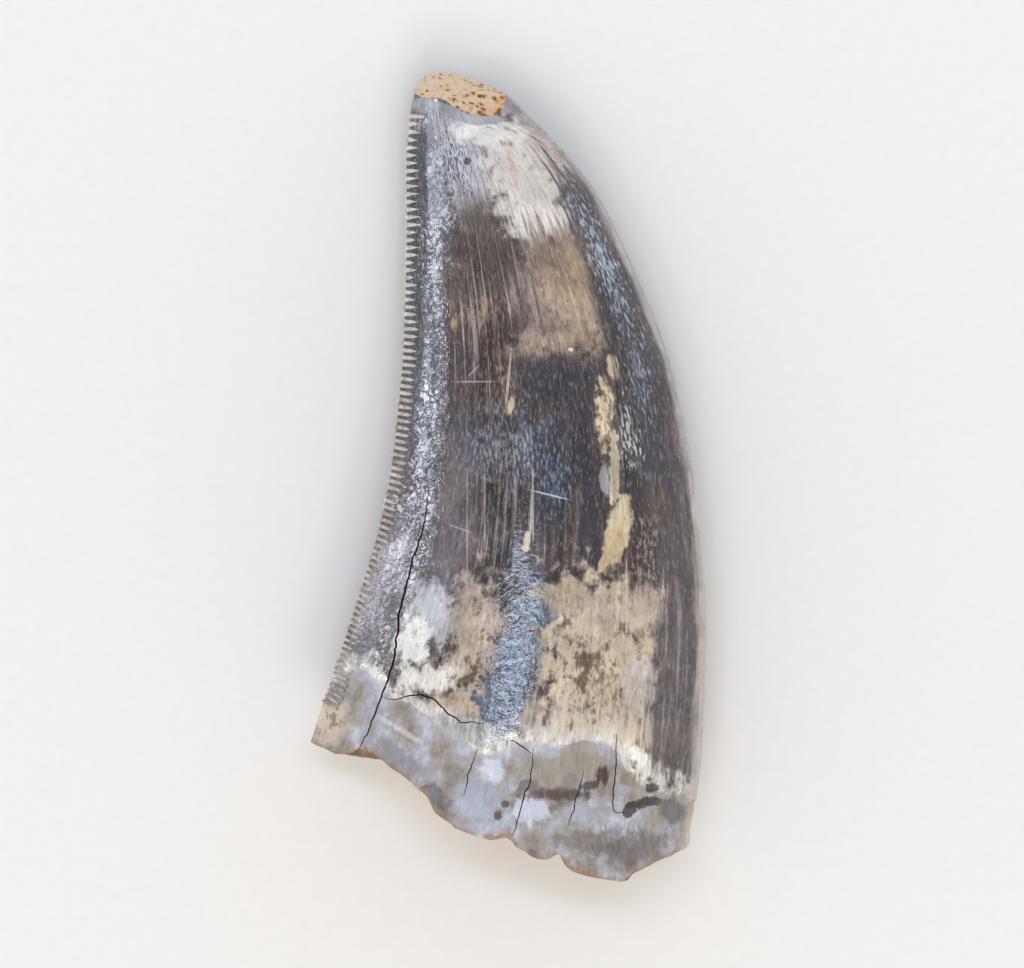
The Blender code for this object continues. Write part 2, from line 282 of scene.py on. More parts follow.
def crown_tree():
    """A closed cylinder whose side is drawn to the skin and whose ends are drawn to the two broken faces."""
    tree, given = new_tree("crown and root", [
        ("Rear edge", "Object"), ("Front edge", "Object"), ("Columns", "Int"), ("Rows", "Int"),
        ("Cap rings", "Int"), ("Enamel step", "Float"), ("Skin", "Material"), ("Tip break", "Material"),
        ("Base break", "Material")], [("Mesh", "Geometry")])
    cylinder = add(tree, "GeometryNodeMeshCylinder", [
        given["Columns"], given["Rows"], given["Cap rings"], 1, 1], fill_type="TRIANGLE_FAN")
    at = add(tree, "ShaderNodeSeparateXYZ", [add(tree, "GeometryNodeInputPosition")]).outputs
    height = add(tree, "ShaderNodeMath", [at[2], 0.5], operation="ADD", use_clamp=True)
    turn = add(tree, "ShaderNodeMath", [at[1], at[0]], operation="ARCTAN2")
    turn = add(tree, "ShaderNodeMath", [turn], operation="ABSOLUTE")
    turn = add(tree, "ShaderNodeMath", [turn, 0.5], operation="MULTIPLY")
    share = add(tree, "ShaderNodeMath", [turn], operation="SINE")
    share = add(tree, "ShaderNodeMath", [share, CROWDING], operation="POWER", use_clamp=True)
    above = add(tree, "ShaderNodeMath", [at[1], -HAIR], operation="GREATER_THAN")
    reach = add(tree, "ShaderNodeCombineXYZ", [at[0], at[1]])
    reach = add(tree, "ShaderNodeVectorMath", [reach], operation="LENGTH").outputs["Value"]
    mesh = cylinder.outputs["Mesh"]
    read = {}
    for label, value in (("height", height), ("share", share), ("above", above), ("reach", reach)):
        mesh = add(tree, "GeometryNodeStoreNamedAttribute", {"Geometry": mesh, "Name": label, "Value": value})
        read[label] = add(tree, "GeometryNodeInputNamedAttribute", {"Name": label}).outputs[0]
    place = add(tree, "GeometryNodeGroup", {
        "Rear edge": given["Rear edge"], "Front edge": given["Front edge"], "Height": read["height"],
        "Share": read["share"], "Above": read["above"]}, node_tree=skin)
    mesh = add(tree, "GeometryNodeSetPosition", {"Geometry": mesh, "Position": place.outputs["Position"]})

    # The rings of the two ends are drawn in from their rims
    here = add(tree, "GeometryNodeInputPosition")
    full = add(tree, "ShaderNodeMath", [read["reach"], read["reach"]], operation="MULTIPLY")
    full = add(tree, "ShaderNodeMath", [1, full], operation="SUBTRACT")
    pit = add(tree, "ShaderNodeMapRange", [read["reach"], 0, PULP_PIT["radius"], PULP_PIT["depth"], 0],
              interpolation_type="SMOOTHSTEP")
    dish = add(tree, "ShaderNodeMath", [full, BASE_DISH, pit], operation="MULTIPLY_ADD")
    dome = add(tree, "ShaderNodeMath", [full, TIP_DOME], operation="MULTIPLY")
    ends = []
    for limit, operation, lift in ((RIM_HEIGHT, "LESS_THAN", dish), (1 - RIM_HEIGHT, "GREATER_THAN", dome)):
        on_rim = add(tree, "FunctionNodeCompare", {"A": read["height"], "B": limit}, operation=operation)
        middle = add(tree, "GeometryNodeAttributeStatistic", {
            "Geometry": mesh, "Selection": on_rim, "Attribute": here}, data_type="FLOAT_VECTOR")
        mean = next(output for output in middle.outputs if output.name == "Mean" and output.enabled)
        drawn = add(tree, "ShaderNodeMix", [read["reach"], mean, here], data_type="VECTOR",
                    clamp_factor=False)
        drawn = add(tree, "ShaderNodeVectorMath", [drawn, add(tree, "ShaderNodeCombineXYZ", [0, lift])])
        ends.append((on_rim, drawn))
    for on_rim, drawn in ends:
        mesh = add(tree, "GeometryNodeSetPosition", {
            "Geometry": mesh, "Selection": on_rim, "Position": drawn})

    # Patterns follow the growth of the tooth
    grain = add(tree, "ShaderNodeCombineXYZ", [
        add(tree, "ShaderNodeMath", [read[label], size], operation="MULTIPLY")
        for label, size in (("share", GRAIN_WIDTH), ("height", GRAIN_LENGTH), ("above", SIDES_APART))])
    mesh = add(tree, "GeometryNodeStoreNamedAttribute", {"Geometry": mesh, "Name": "grain", "Value": grain},
               data_type="FLOAT_VECTOR", domain="CORNER")
    mesh = add(tree, "GeometryNodeStoreNamedAttribute", {
        "Geometry": mesh, "Name": "upper side", "Value": read["above"]}, domain="CORNER")

    # Swells about 3 mm wide and 20 mm long, and how far a point lies above the enamel's ragged lower edge
    place = add(tree, "GeometryNodeInputPosition")
    axes = add(tree, "ShaderNodeSeparateXYZ", [place]).outputs
    grain_read = add(tree, "GeometryNodeInputNamedAttribute", {"Name": "grain"}, data_type="FLOAT_VECTOR")
    long_grain = add(tree, "ShaderNodeVectorMath", [grain_read, (0.35, 0.045, 1)], operation="MULTIPLY")
    swell = add(tree, "ShaderNodeTexNoise", {"Vector": long_grain, "Scale": 1.0, "Detail": 2.0})
    swell = add(tree, "ShaderNodeMapRange", [swell, 0, 1, -SWELL, SWELL])
    first, last = ENAMEL_EDGE_SPAN
    edge_at = add(tree, "ShaderNodeMapRange", [axes[0], first, last, 0, 1])
    edge = draw_curve(add(tree, "ShaderNodeFloatCurve", [1, edge_at]),
                      [((x - first) / (last - first), y) for x, y in ENAMEL_EDGE])
    ragged = add(tree, "ShaderNodeTexNoise", {
        "Vector": place, "Scale": 0.9, "Detail": 4.0, "Roughness": 0.6})
    ragged = add(tree, "ShaderNodeMapRange", [ragged, 0, 1, -RAGGED, RAGGED])
    over_edge = add(tree, "ShaderNodeMath", [axes[1], edge], operation="SUBTRACT")
    over_edge = add(tree, "ShaderNodeMath", [over_edge, ragged], operation="ADD")
    mesh = add(tree, "GeometryNodeStoreNamedAttribute", {
        "Geometry": mesh, "Name": "over the enamel edge", "Value": over_edge}, domain="CORNER")

    # The relief of the side, and of the two ends
    enamel = add(tree, "ShaderNodeMapRange", [over_edge, -STEP_EASE, STEP_EASE, 0, 1],
                 interpolation_type="SMOOTHSTEP")
    step = add(tree, "ShaderNodeMath", [enamel, given["Enamel step"]], operation="MULTIPLY")
    coarse = add(tree, "ShaderNodeTexNoise", {
        "Vector": place, "Scale": 0.8, "Detail": 5.0, "Roughness": 0.55})
    root_rough = add(tree, "ShaderNodeMapRange", [coarse, 0, 1, *ROOT_RELIEF])
    side_relief = add(tree, "ShaderNodeMix", [enamel, root_rough, step], data_type="FLOAT")
    side_relief = add(tree, "ShaderNodeMath", [side_relief, swell], operation="ADD")
    break_rough = add(tree, "ShaderNodeMapRange", [coarse, 0, 1, -BREAK_RELIEF, BREAK_RELIEF])
    pores = add(tree, "ShaderNodeTexVoronoi", {"Vector": place, "Scale": 2.3}, feature="F1")
    pores = add(tree, "ShaderNodeMapRange", [pores, 0.05, 0.28, -PORE_DEPTH, 0],
                interpolation_type="SMOOTHSTEP")
    at_base = add(tree, "ShaderNodeMath", [read["height"], 0.5], operation="LESS_THAN")
    end_relief = add(tree, "ShaderNodeMix", [at_base, pores, break_rough], data_type="FLOAT")
    on_side = add(tree, "ShaderNodeMapRange", [read["reach"], SIDE_REACH, 1, 0, 1])
    relief = add(tree, "ShaderNodeMix", [on_side, end_relief, side_relief], data_type="FLOAT")
    for measure, limit in ((read["share"], SHARP_SHARE), (axes[2], OFF_FLOOR)):
        fade = add(tree, "ShaderNodeMapRange", [measure, 0, limit, 0, 1])
        relief = add(tree, "ShaderNodeMath", [relief, fade], operation="MULTIPLY")
    outward = add(tree, "ShaderNodeVectorMath", {
        "Vector": add(tree, "GeometryNodeInputNormal"), "Scale": relief}, operation="SCALE")
    mesh = add(tree, "GeometryNodeSetPosition", {"Geometry": mesh, "Offset": outward})
    mesh = add(tree, "GeometryNodeSetShadeSmooth", {"Geometry": mesh})
    mesh = add(tree, "GeometryNodeRealizeInstances", [mesh])
    mesh = add(tree, "GeometryNodeSetMaterial", {"Geometry": mesh, "Material": given["Skin"]})
    for face, finish in (("Top", "Tip break"), ("Bottom", "Base break")):
        mesh = add(tree, "GeometryNodeSetMaterial", {
            "Geometry": mesh, "Selection": cylinder.outputs[face], "Material": given[finish]})
    add(tree, "NodeGroupOutput", [mesh])
    return tree


def linear(code):
    """An sRGB hex colour as a linear one."""
    parts = [int(code[start:start + 2], 16) / 255 for start in (1, 3, 5)]
    return (*(part / 12.92 if part <= 0.04045 else ((part + 0.055) / 1.055) ** 2.4 for part in parts), 1.0)


def new_material(name):
    """An empty material, and its tree."""
    material = bpy.data.materials.new(name)
    material.use_nodes = True
    tree = material.node_tree
    tree.nodes.clear()
    return material, tree


def millimetres(tree):
    """The place of a point in mm."""
    place = add(tree, "ShaderNodeTexCoord").outputs["Object"]
    return add(tree, "ShaderNodeVectorMath", {"Vector": place, "Scale": 1 / MM}, operation="SCALE")


def draw_ramp(node, colours):
    """Gives a Color Ramp node its colours."""
    ramp = node.color_ramp
    for _ in colours[2:]:
        ramp.elements.new(0.5)
    for element, (place, code) in zip(ramp.elements, colours):
        element.position = place
        element.color = linear(code)
    return node


def surface(tree, colour, relief, depth, roughness, ior, strength=1.0):
    """Ends a material: its colour, a relief that is so many mm deep, its roughness and its IOR."""
    bump = add(tree, "ShaderNodeBump", {"Strength": strength, "Distance": depth * MM, "Height": relief})
    shader = add(tree, "ShaderNodeBsdfPrincipled", {
        "Base Color": colour, "Roughness": roughness, "IOR": ior, "Normal": bump})
    add(tree, "ShaderNodeOutputMaterial", [shader])


# Stains of the upper side: name, middle, half sizes, turn in degrees, colour, cover, softness of the edge,
# and what breaks it up. Streaks, dashes and lines follow the growth of the tooth. Solid ones keep nearly
# whole. Each was picked out on the photo, in pixels and with the photo's colour there. A scratch script
# turned those notes into mm, and into colours that look about the same in the render.
STAINS = [
    # the worn and speckled enamel under the tip
    ("speckled_blue", (-5.9, 24.5), (2.48, 3.45), 8, "#C9CDD9", 0.92, 0.5, "streaks"),
    # painted highlight: the blue-white column of the rear flank's sheen, drawn into the colour
    ("painted_highlight_column", (-7.2, 22.4), (0.55, 1.93), 0, "#DAE0F2", 0.85, 0.45, "streaks"),
    ("slate_dashes", (-6.2, 24.5), (2.9, 4.28), 6, "#292C3E", 0.9, 0.2, "dashes"),
    ("white_patch", (-1.2, 23.6), (2.21, 4.28), 18, "#D9D4CF", 1.0, 0.45, "blotches"),
    ("spall_streaks", (0.3, 25.5), (0.83, 3.17), 34, "#C6B7B2", 0.9, 0.5, "streaks"),
    ("white_patch_low", (0.0, 20.6), (2.07, 1.24), 0, "#F8F2EC", 0.95, 0.25, "streaks"),
    ("white_under_tip", (-3.7, 26.7), (2.07, 0.83), -8, "#FAFAF5", 0.85, 0.5, "blotches"),
    ("peach_streak", (-1.9, 24.4), (0.21, 1.52), 12, "#D8B79E", 0.6, 0.4, "streaks"),
    ("ring_left", (-8.0, 28.7), (0.97, 0.55), -8, "#8E909B", 0.9, 0.3, "solid"),
    ("ring_middle", (-6.1, 28.1), (1.66, 0.41), -24, "#9E9FA9", 0.95, 0.2, "solid"),
    ("ring_right", (-3.7, 27.6), (1.24, 0.34), 6, "#A3A2AB", 0.95, 0.2, "solid"),
    ("ring_end", (-2.3, 28.5), (0.28, 0.76), -24, "#A3A2AF", 0.9, 0.2, "solid"),
    ("tip_spot", (-5.0, 24.7), (0.28, 0.28), 0, "#292435", 0.85, 0.3, "solid"),
    # the warm browns of the middle
    ("brown_violet", (-4.6, 17.8), (2.34, 4.14), 4, "#584C44", 0.8, 0.65, "streaks"),
    ("brown_violet_dark", (-4.6, 17.8), (2.76, 4.83), 4, "#280D13", 0.6, 0.5, "blots"),
    ("dark_brown", (-4.8, 11.4), (2.9, 3.31), 0, "#341E1E", 0.9, 0.55, "streaks"),
    ("tan_shoulder", (1.4, 16.0), (2.48, 4.28), 10, "#A4928C", 0.92, 0.5, "streaks"),
    ("tan_shoulder_dark", (1.4, 15.9), (2.34, 4.14), 10, "#614E47", 0.55, 0.5, "blots"),
    ("tan_shoulder_pale", (1.4, 15.9), (2.34, 4.14), 10, "#AC9C8F", 0.5, 0.5, "dashes"),
    ("tan_shoulder_front", (2.8, 13.4), (1.24, 2.76), 8, "#B6A18B", 0.9, 0.45, "blotches"),
    ("tan_shoulder_warm", (1.8, 16.8), (1.79, 2.34), 8, "#9E876A", 0.7, 0.65, "blotches"),
    ("ochre_spot", (2.4, 17.4), (0.34, 0.55), 0, "#BBA27D", 0.6, 0.4, "streaks"),
    ("tan_shoulder_low", (0.0, 12.1), (1.93, 1.03), 0, "#A3907D", 0.85, 0.45, "blotches"),
    ("tan_blots", (-3.9, 14.1), (2.62, 1.52), 0, "#96856C", 0.6, 0.5, "flecks"),
    ("tan_blots_left", (-5.9, 13.5), (0.21, 0.48), 6, "#A28D67", 0.8, 0.5, "streaks"),
    ("tan_blots_middle", (-4.8, 13.7), (0.17, 0.48), 14, "#A28D67", 0.8, 0.5, "streaks"),
    ("tan_blots_right", (-3.9, 14.3), (0.21, 0.9), -4, "#B49B73", 0.8, 0.5, "streaks"),
    ("tan_blots_low", (-2.5, 9.8), (0.69, 0.97), 0, "#8F7A61", 0.8, 0.5, "flecks"),
    ("pale_lines_middle", (-4.0, 13.1), (2.9, 8.97), 0, "#9F9694", 0.7, 0.3, "lines"),
    # black and slate, where iron and manganese came in. The bluish slate patches and flecks among them are
    # partly painted reflection: the bluish sheen of a soft light drawn onto dark enamel.
    ("black_patch", (1.4, 9.8), (3.03, 1.66), 0, "#312F39", 0.92, 0.45, "blotches"),
    # partly painted reflection: bluish slate sheen over the middle
    ("painted_sheen_slate_middle", (-1.9, 5.0), (3.45, 2.62), 0, "#404A5B", 0.92, 0.5, "blotches"),
    ("grey_violet", (-5.9, -1.0), (1.79, 4.55), -4, "#675F68", 0.85, 0.55, "streaks"),
    ("black_middle", (-2.4, -1.4), (1.86, 4.41), 0, "#28262C", 0.92, 0.5, "streaks"),
    ("black_by_cream", (3.2, 3.0), (0.9, 6.07), 2, "#312C39", 0.9, 0.5, "streaks"),
    ("black_by_tongue", (6.9, -1.4), (1.1, 3.86), 0, "#351C25", 0.95, 0.5, "streaks"),
    ("black_front_low", (6.9, 6.1), (1.24, 4.0), 6, "#24202B", 0.92, 0.45, "streaks"),
    ("brown_front", (8.3, 1.5), (0.83, 1.79), 4, "#554135", 0.85, 0.5, "streaks"),
    # partly painted reflection: the bluish slate patches and flecks below
    ("painted_sheen_patch", (0.9, 2.5), (1.38, 2.76), -6, "#262F3D", 0.9, 0.45, "blotches"),
    ("painted_sheen_slate_low", (-0.2, -4.3), (0.97, 1.03), 0, "#26344C", 0.9, 0.45, "blotches"),
    ("painted_sheen_flecks", (-1.9, 5.2), (3.59, 2.76), 0, "#969FAF", 0.6, 0.45, "flecks"),
    ("painted_sheen_patch_flecks", (1.1, 2.5), (1.52, 2.9), -6, "#7F8EA7", 0.5, 0.45, "flecks"),
    # partly painted glints: pale flecks for the specks of light on the crinkled enamel
    ("painted_glint_flecks", (6.2, 6.2), (1.38, 3.59), 6, "#C2C3C6", 0.85, 0.35, "flecks"),
    ("pale_lines_low", (-2.8, -0.7), (4.14, 5.17), 0, "#A49B98", 0.55, 0.4, "lines"),
    ("brown_specks", (7.2, -1.7), (1.52, 3.45), 0, "#9E9289", 0.7, 0.2, "dashes"),
    # tan and pearl, lower down
    ("tan_low", (3.7, -9.3), (4.0, 5.1), 0, "#CFBFA6", 0.97, 0.45, "blotches"),
    ("tan_low_top", (1.5, -5.3), (2.21, 1.1), 0, "#B2A28B", 0.85, 0.5, "blotches"),
    ("cream_margin", (4.0, -14.3), (4.41, 1.66), -6, "#DACDB8", 0.95, 0.55, "streaks"),
    ("cream_margin_front", (7.4, -16.8), (2.48, 0.69), -32, "#FAFAED", 0.9, 0.45, "blotches"),
    ("tan_low_front", (7.2, -6.0), (1.66, 1.24), 0, "#CABAA7", 0.92, 0.45, "streaks"),
    ("brown_mottles", (3.0, -9.8), (4.14, 4.41), 0, "#533F2B", 0.85, 0.4, "blots"),
    ("brown_dashes", (4.0, -11.0), (3.59, 3.59), 0, "#665342", 0.8, 0.5, "dashes"),
    ("brown_lines", (4.6, -12.4), (3.17, 2.76), 0, "#73614E", 0.6, 0.5, "lines"),
    ("grey_wash", (3.9, -7.0), (2.34, 1.52), 0, "#C0B2A0", 0.7, 0.65, "blotches"),
    ("brown_low", (-4.3, -9.3), (1.79, 4.83), 0, "#C8B6A6", 0.92, 0.5, "blotches"),
    ("rear_mottles", (-4.4, -10.2), (2.34, 3.72), 0, "#4F3824", 0.8, 0.4, "blots"),
    # partly painted highlight: the pale pearl and white patches here, not the beige one, stand for the broad
    # sheen of the lower rear flank, over the enamel's own pale colour
    ("painted_highlight_pearl_rear", (-7.3, -6.3), (1.66, 2.34), -4, "#C1C5CE", 0.95, 0.45, "blotches"),
    ("beige_rear", (-5.3, -6.6), (1.17, 2.21), 0, "#9C9185", 0.85, 0.5, "blotches"),
    ("painted_highlight_rear", (-8.8, -8.3), (1.24, 1.66), -8, "#F5F3EE", 0.97, 0.45, "blotches"),
    ("painted_highlight_rear_low", (-7.7, -10.8), (1.79, 1.1), -10, "#F0ECE4", 0.9, 0.45, "blotches"),
    ("tan_rear_low", (-6.1, -12.6), (1.79, 0.97), -8, "#C2AF98", 0.85, 0.5, "blotches"),
    # partly painted reflection: the slate-blue strip and its top carry the bluish cast of the overhead
    # panel's sheen, under the gloss that the panel really gives
    ("painted_sheen_strip_top", (-0.6, -6.2), (1.52, 0.9), 0, "#5C6A79", 0.9, 0.25, "blotches"),
    ("painted_sheen_strip_low", (-1.4, -8.8), (1.66, 0.83), 0, "#5C6A79", 0.85, 0.45, "blotches"),
    ("painted_sheen_strip", (-2.3, -11.0), (1.45, 4.28), -18, "#425268", 0.95, 0.2, "blotches"),
    ("strip_end", (-3.1, -14.8), (0.97, 0.76), 0, "#3A312B", 0.95, 0.2, "solid"),
    ("hatched_patch", (6.8, -11.4), (1.1, 2.07), 0, "#C4BCB4", 0.9, 0.12, "solid"),
    ("hatching", (6.8, -11.4), (1.03, 2.0), 0, "#857E7A", 0.6, 0.2, "lines"),
    # the cream mineral streak by the front edge
    ("cream_start", (4.6, 12.3), (0.34, 0.55), 0, "#76675A", 0.95, 0.2, "solid"),
    ("cream_upper", (5.0, 10.5), (0.41, 0.97), 8, "#D2BF9F", 0.95, 0.2, "solid"),
    ("cream_side", (4.3, 9.2), (0.17, 0.76), 20, "#B9A587", 0.9, 0.2, "solid"),
    ("cream_middle", (4.4, 7.2), (0.62, 1.79), 2, "#F1DDBB", 0.9, 0.45, "blotches"),
    ("cream_specks", (4.7, 6.9), (1.1, 5.1), 0, "#4E3C2E", 0.85, 0.5, "dashes"),
    ("cream_neck", (5.1, 3.4), (0.34, 2.48), 0, "#C2B49D", 0.95, 0.2, "blotches"),
    ("cream_tongue", (5.3, -0.7), (0.83, 2.28), -12, "#CCBDA0", 1.0, 0.15, "solid"),
    ("gold_tongue", (5.2, -1.4), (0.48, 1.52), -14, "#D1B57E", 0.6, 0.55, "streaks"),
    ("cream_point", (4.4, -2.8), (0.34, 0.9), -28, "#C2AD88", 1.0, 0.15, "solid"),
    ("lilac_chip", (4.4, 2.8), (0.34, 1.17), 4, "#ABA8B0", 0.92, 0.2, "solid"),
    ("soot_blots", (-2.2, 4.4), (4.55, 7.72), 0, "#0D0D0D", 0.5, 0.5, "blots"),
    ("umber_dashes", (-2.8, 5.5), (4.14, 7.59), 0, "#877970", 0.5, 0.5, "dashes"),
    # small marks and scratches
    ("cream_streak", (-2.2, 9.5), (0.09, 1.93), -6, "#B7A78F", 0.85, 0.3, "solid"),
    ("cream_streak_end", (-2.0, 7.9), (0.18, 0.55), -8, "#C7B79B", 0.9, 0.3, "streaks"),
    ("cream_drop_line", (-0.6, 0.7), (0.08, 2.34), -3, "#B2A898", 0.8, 0.3, "solid"),
    ("cream_drop", (-0.9, -1.4), (0.18, 0.62), -12, "#D3C6AC", 0.95, 0.3, "streaks"),
    ("cream_drop_end", (-1.0, -1.9), (0.28, 0.28), 0, "#DBD0B7", 0.95, 0.2, "solid"),
    ("pale_hair_1", (-5.0, -1.0), (0.07, 4.55), 0, "#9F9795", 0.75, 0.3, "solid"),
    ("pale_hair_2", (-3.8, 1.0), (0.07, 2.48), 0, "#ADA59E", 0.75, 0.3, "solid"),
    ("pale_hair_3", (-0.5, 1.0), (0.08, 2.48), 0, "#A69F9B", 0.75, 0.3, "solid"),
    ("pale_hair_4", (5.9, -5.5), (0.08, 3.03), 0, "#CEC1AB", 0.85, 0.3, "solid"),
    ("pale_hair_5", (8.4, -6.9), (0.08, 3.45), -1, "#C7BCA7", 0.6, 0.3, "solid"),
    ("bright_pit", (2.1, 11.7), (0.17, 0.14), 0, "#E5E1DB", 0.95, 0.3, "solid"),
    ("scratch_1", (-4.5, 9.5), (1.38, 0.06), 0, "#9A9CA7", 0.75, 0.4, "solid"),
    ("scratch_2", (0.8, 1.7), (1.38, 0.06), -14, "#B1C0D5", 0.95, 0.4, "solid"),
    ("scratch_3", (-6.9, 12.3), (0.69, 0.06), -37, "#A4A6B1", 0.8, 0.4, "solid"),
    ("scratch_4", (-4.5, 10.3), (0.48, 0.06), 45, "#A4A6B1", 0.7, 0.4, "solid"),
    ("scratch_5", (-5.4, -0.6), (0.83, 0.05), -20, "#A4A6B1", 0.7, 0.4, "solid"),
]

# Stains of the bare root, in the same form
ROOT_STAINS = [
    ("white_polygon", (-4.8, -14.3), (2.48, 0.9), -14, "#AEAEAB", 0.97, 0.2, "solid"),
    # painted highlight: pale blue-lilac patches for the bluish sheen of the root
    ("painted_highlight_root_left", (-4.3, -18.8), (1.52, 1.52), -20, "#A6ACBB", 0.9, 0.45, "blotches"),
    ("painted_highlight_root_top", (-3.4, -16.9), (0.9, 0.83), 0, "#D4DAE8", 0.9, 0.45, "blotches"),
    ("lilac_middle", (-0.7, -19.7), (1.38, 1.1), 8, "#C8CFDF", 0.95, 0.2, "blotches"),
    ("lilac_right", (2.5, -20.1), (0.97, 0.69), 0, "#A8ADB8", 0.85, 0.3, "blotches"),
    ("olive_band", (2.2, -16.8), (2.21, 1.24), 4, "#999183", 0.9, 0.45, "blotches"),
    ("black_band", (1.2, -18.7), (2.76, 0.41), 0, "#443022", 0.9, 0.45, "blotches"),
    ("black_band_left", (-0.9, -18.1), (0.62, 0.48), 40, "#6E5F54", 0.85, 0.3, "blotches"),
    ("grey_ring", (2.1, -17.8), (0.55, 0.55), 0, "#87817B", 0.85, 0.25, "solid"),
    ("black_knob_1", (4.3, -17.4), (0.48, 0.62), 8, "#3B261D", 0.95, 0.3, "streaks"),
    ("black_knob_left", (3.4, -18.1), (0.69, 0.28), 14, "#32261C", 0.85, 0.3, "streaks"),
    ("black_knob_2", (6.1, -17.7), (0.48, 0.41), 30, "#8A7E70", 0.85, 0.3, "blotches"),
    ("black_knob_3", (7.7, -18.3), (0.41, 0.34), 0, "#160D0D", 0.9, 0.2, "blotches"),
    ("black_knob_4", (7.2, -19.3), (0.97, 0.34), 8, "#110D0D", 0.9, 0.2, "blotches"),
    ("black_knob_5", (6.1, -19.9), (0.34, 0.55), -38, "#342520", 0.9, 0.2, "blotches"),
    ("green_dark", (9.1, -19.9), (0.9, 0.97), 0, "#625E58", 0.85, 0.45, "blotches"),
    ("black_spot_left", (-2.9, -20.2), (0.28, 0.41), -20, "#3A3437", 0.9, 0.2, "blotches"),
    ("black_spot_upper", (-2.3, -19.3), (0.28, 0.24), 30, "#3A3437", 0.85, 0.2, "blotches"),
    ("warm_middle", (3.4, -22.1), (2.34, 0.97), 0, "#807567", 0.8, 0.45, "blotches"),
    ("slate_left", (-10.2, -16.0), (2.34, 0.83), -34, "#88868C", 0.85, 0.45, "blotches"),
    ("slate_left_dark", (-7.1, -18.8), (1.1, 0.62), -40, "#5F5B5F", 0.8, 0.3, "blotches"),
    ("white_vein", (-9.5, -14.4), (1.93, 0.21), -30, "#D5D5D5", 0.7, 0.5, "blotches"),
    ("grey_oval", (-11.7, -13.4), (0.41, 0.83), -12, "#A7A1AD", 0.85, 0.3, "blotches"),
    ("tan_corner", (-14.4, -13.9), (1.24, 1.66), 0, "#CCBBA6", 0.85, 0.45, "blotches"),
    ("corner_dots", (-14.4, -13.7), (1.1, 1.52), 0, "#755537", 0.7, 0.2, "blots"),
    ("dark_bottom", (6.2, -22.5), (3.03, 1.24), 4, "#736A67", 0.8, 0.5, "blotches"),
    ("dark_bottom_dashes", (5.2, -22.1), (4.14, 1.52), 0, "#4F4C55", 0.6, 0.4, "dashes"),
]


NO_SHIFT = 0.00001


def stain_group():
    """One stain, or one painted highlight or reflection, over the colour under it. Its reach is 1 at the edge
    of its oval, where it fades out.
    """
    tree = bpy.data.node_groups.new("stain", "ShaderNodeTree")
    for label, kind in (
            ("Under", "Color"), ("Stain", "Color"), ("Place", "Vector"), ("Middle", "Vector"),
            ("Turn", "Vector"), ("Size", "Vector"), ("Softness", "Float"), ("Cover", "Float"),
            ("Break up", "Float")):
        tree.interface.new_socket(label, in_out="INPUT", socket_type="NodeSocket" + kind)
    tree.interface.new_socket("Colour", in_out="OUTPUT", socket_type="NodeSocketColor")
    tree.interface.new_socket("Place", in_out="OUTPUT", socket_type="NodeSocketVector")
    given = tree.nodes.new("NodeGroupInput").outputs
    inside = add(tree, "ShaderNodeMapping", [
        given["Place"], given["Middle"], given["Turn"], given["Size"]], vector_type="TEXTURE")
    reach = add(tree, "ShaderNodeVectorMath", [inside], operation="LENGTH").outputs["Value"]
    reach = add(tree, "ShaderNodeMath", [reach, given["Break up"]], operation="ADD")
    inner = add(tree, "ShaderNodeMath", [1, given["Softness"]], operation="SUBTRACT")
    outer = add(tree, "ShaderNodeMath", [1, given["Softness"]], operation="ADD")
    mask = add(tree, "ShaderNodeMapRange", [reach, inner, outer, given["Cover"], 0],
               interpolation_type="SMOOTHSTEP")
    colour = add(tree, "ShaderNodeMix", [mask, given["Under"], given["Stain"]], data_type="RGBA")

    # A stain hands its place on to the next with a shift too small to see. So the shader works out one at a
    # time, and room for all of them is never needed at once.
    onward = add(tree, "ShaderNodeVectorMath", [mask, (NO_SHIFT, 0, 0), given["Place"]],
                 operation="MULTIPLY_ADD")
    add(tree, "NodeGroupOutput", [colour, onward])
    return tree


stain = stain_group()

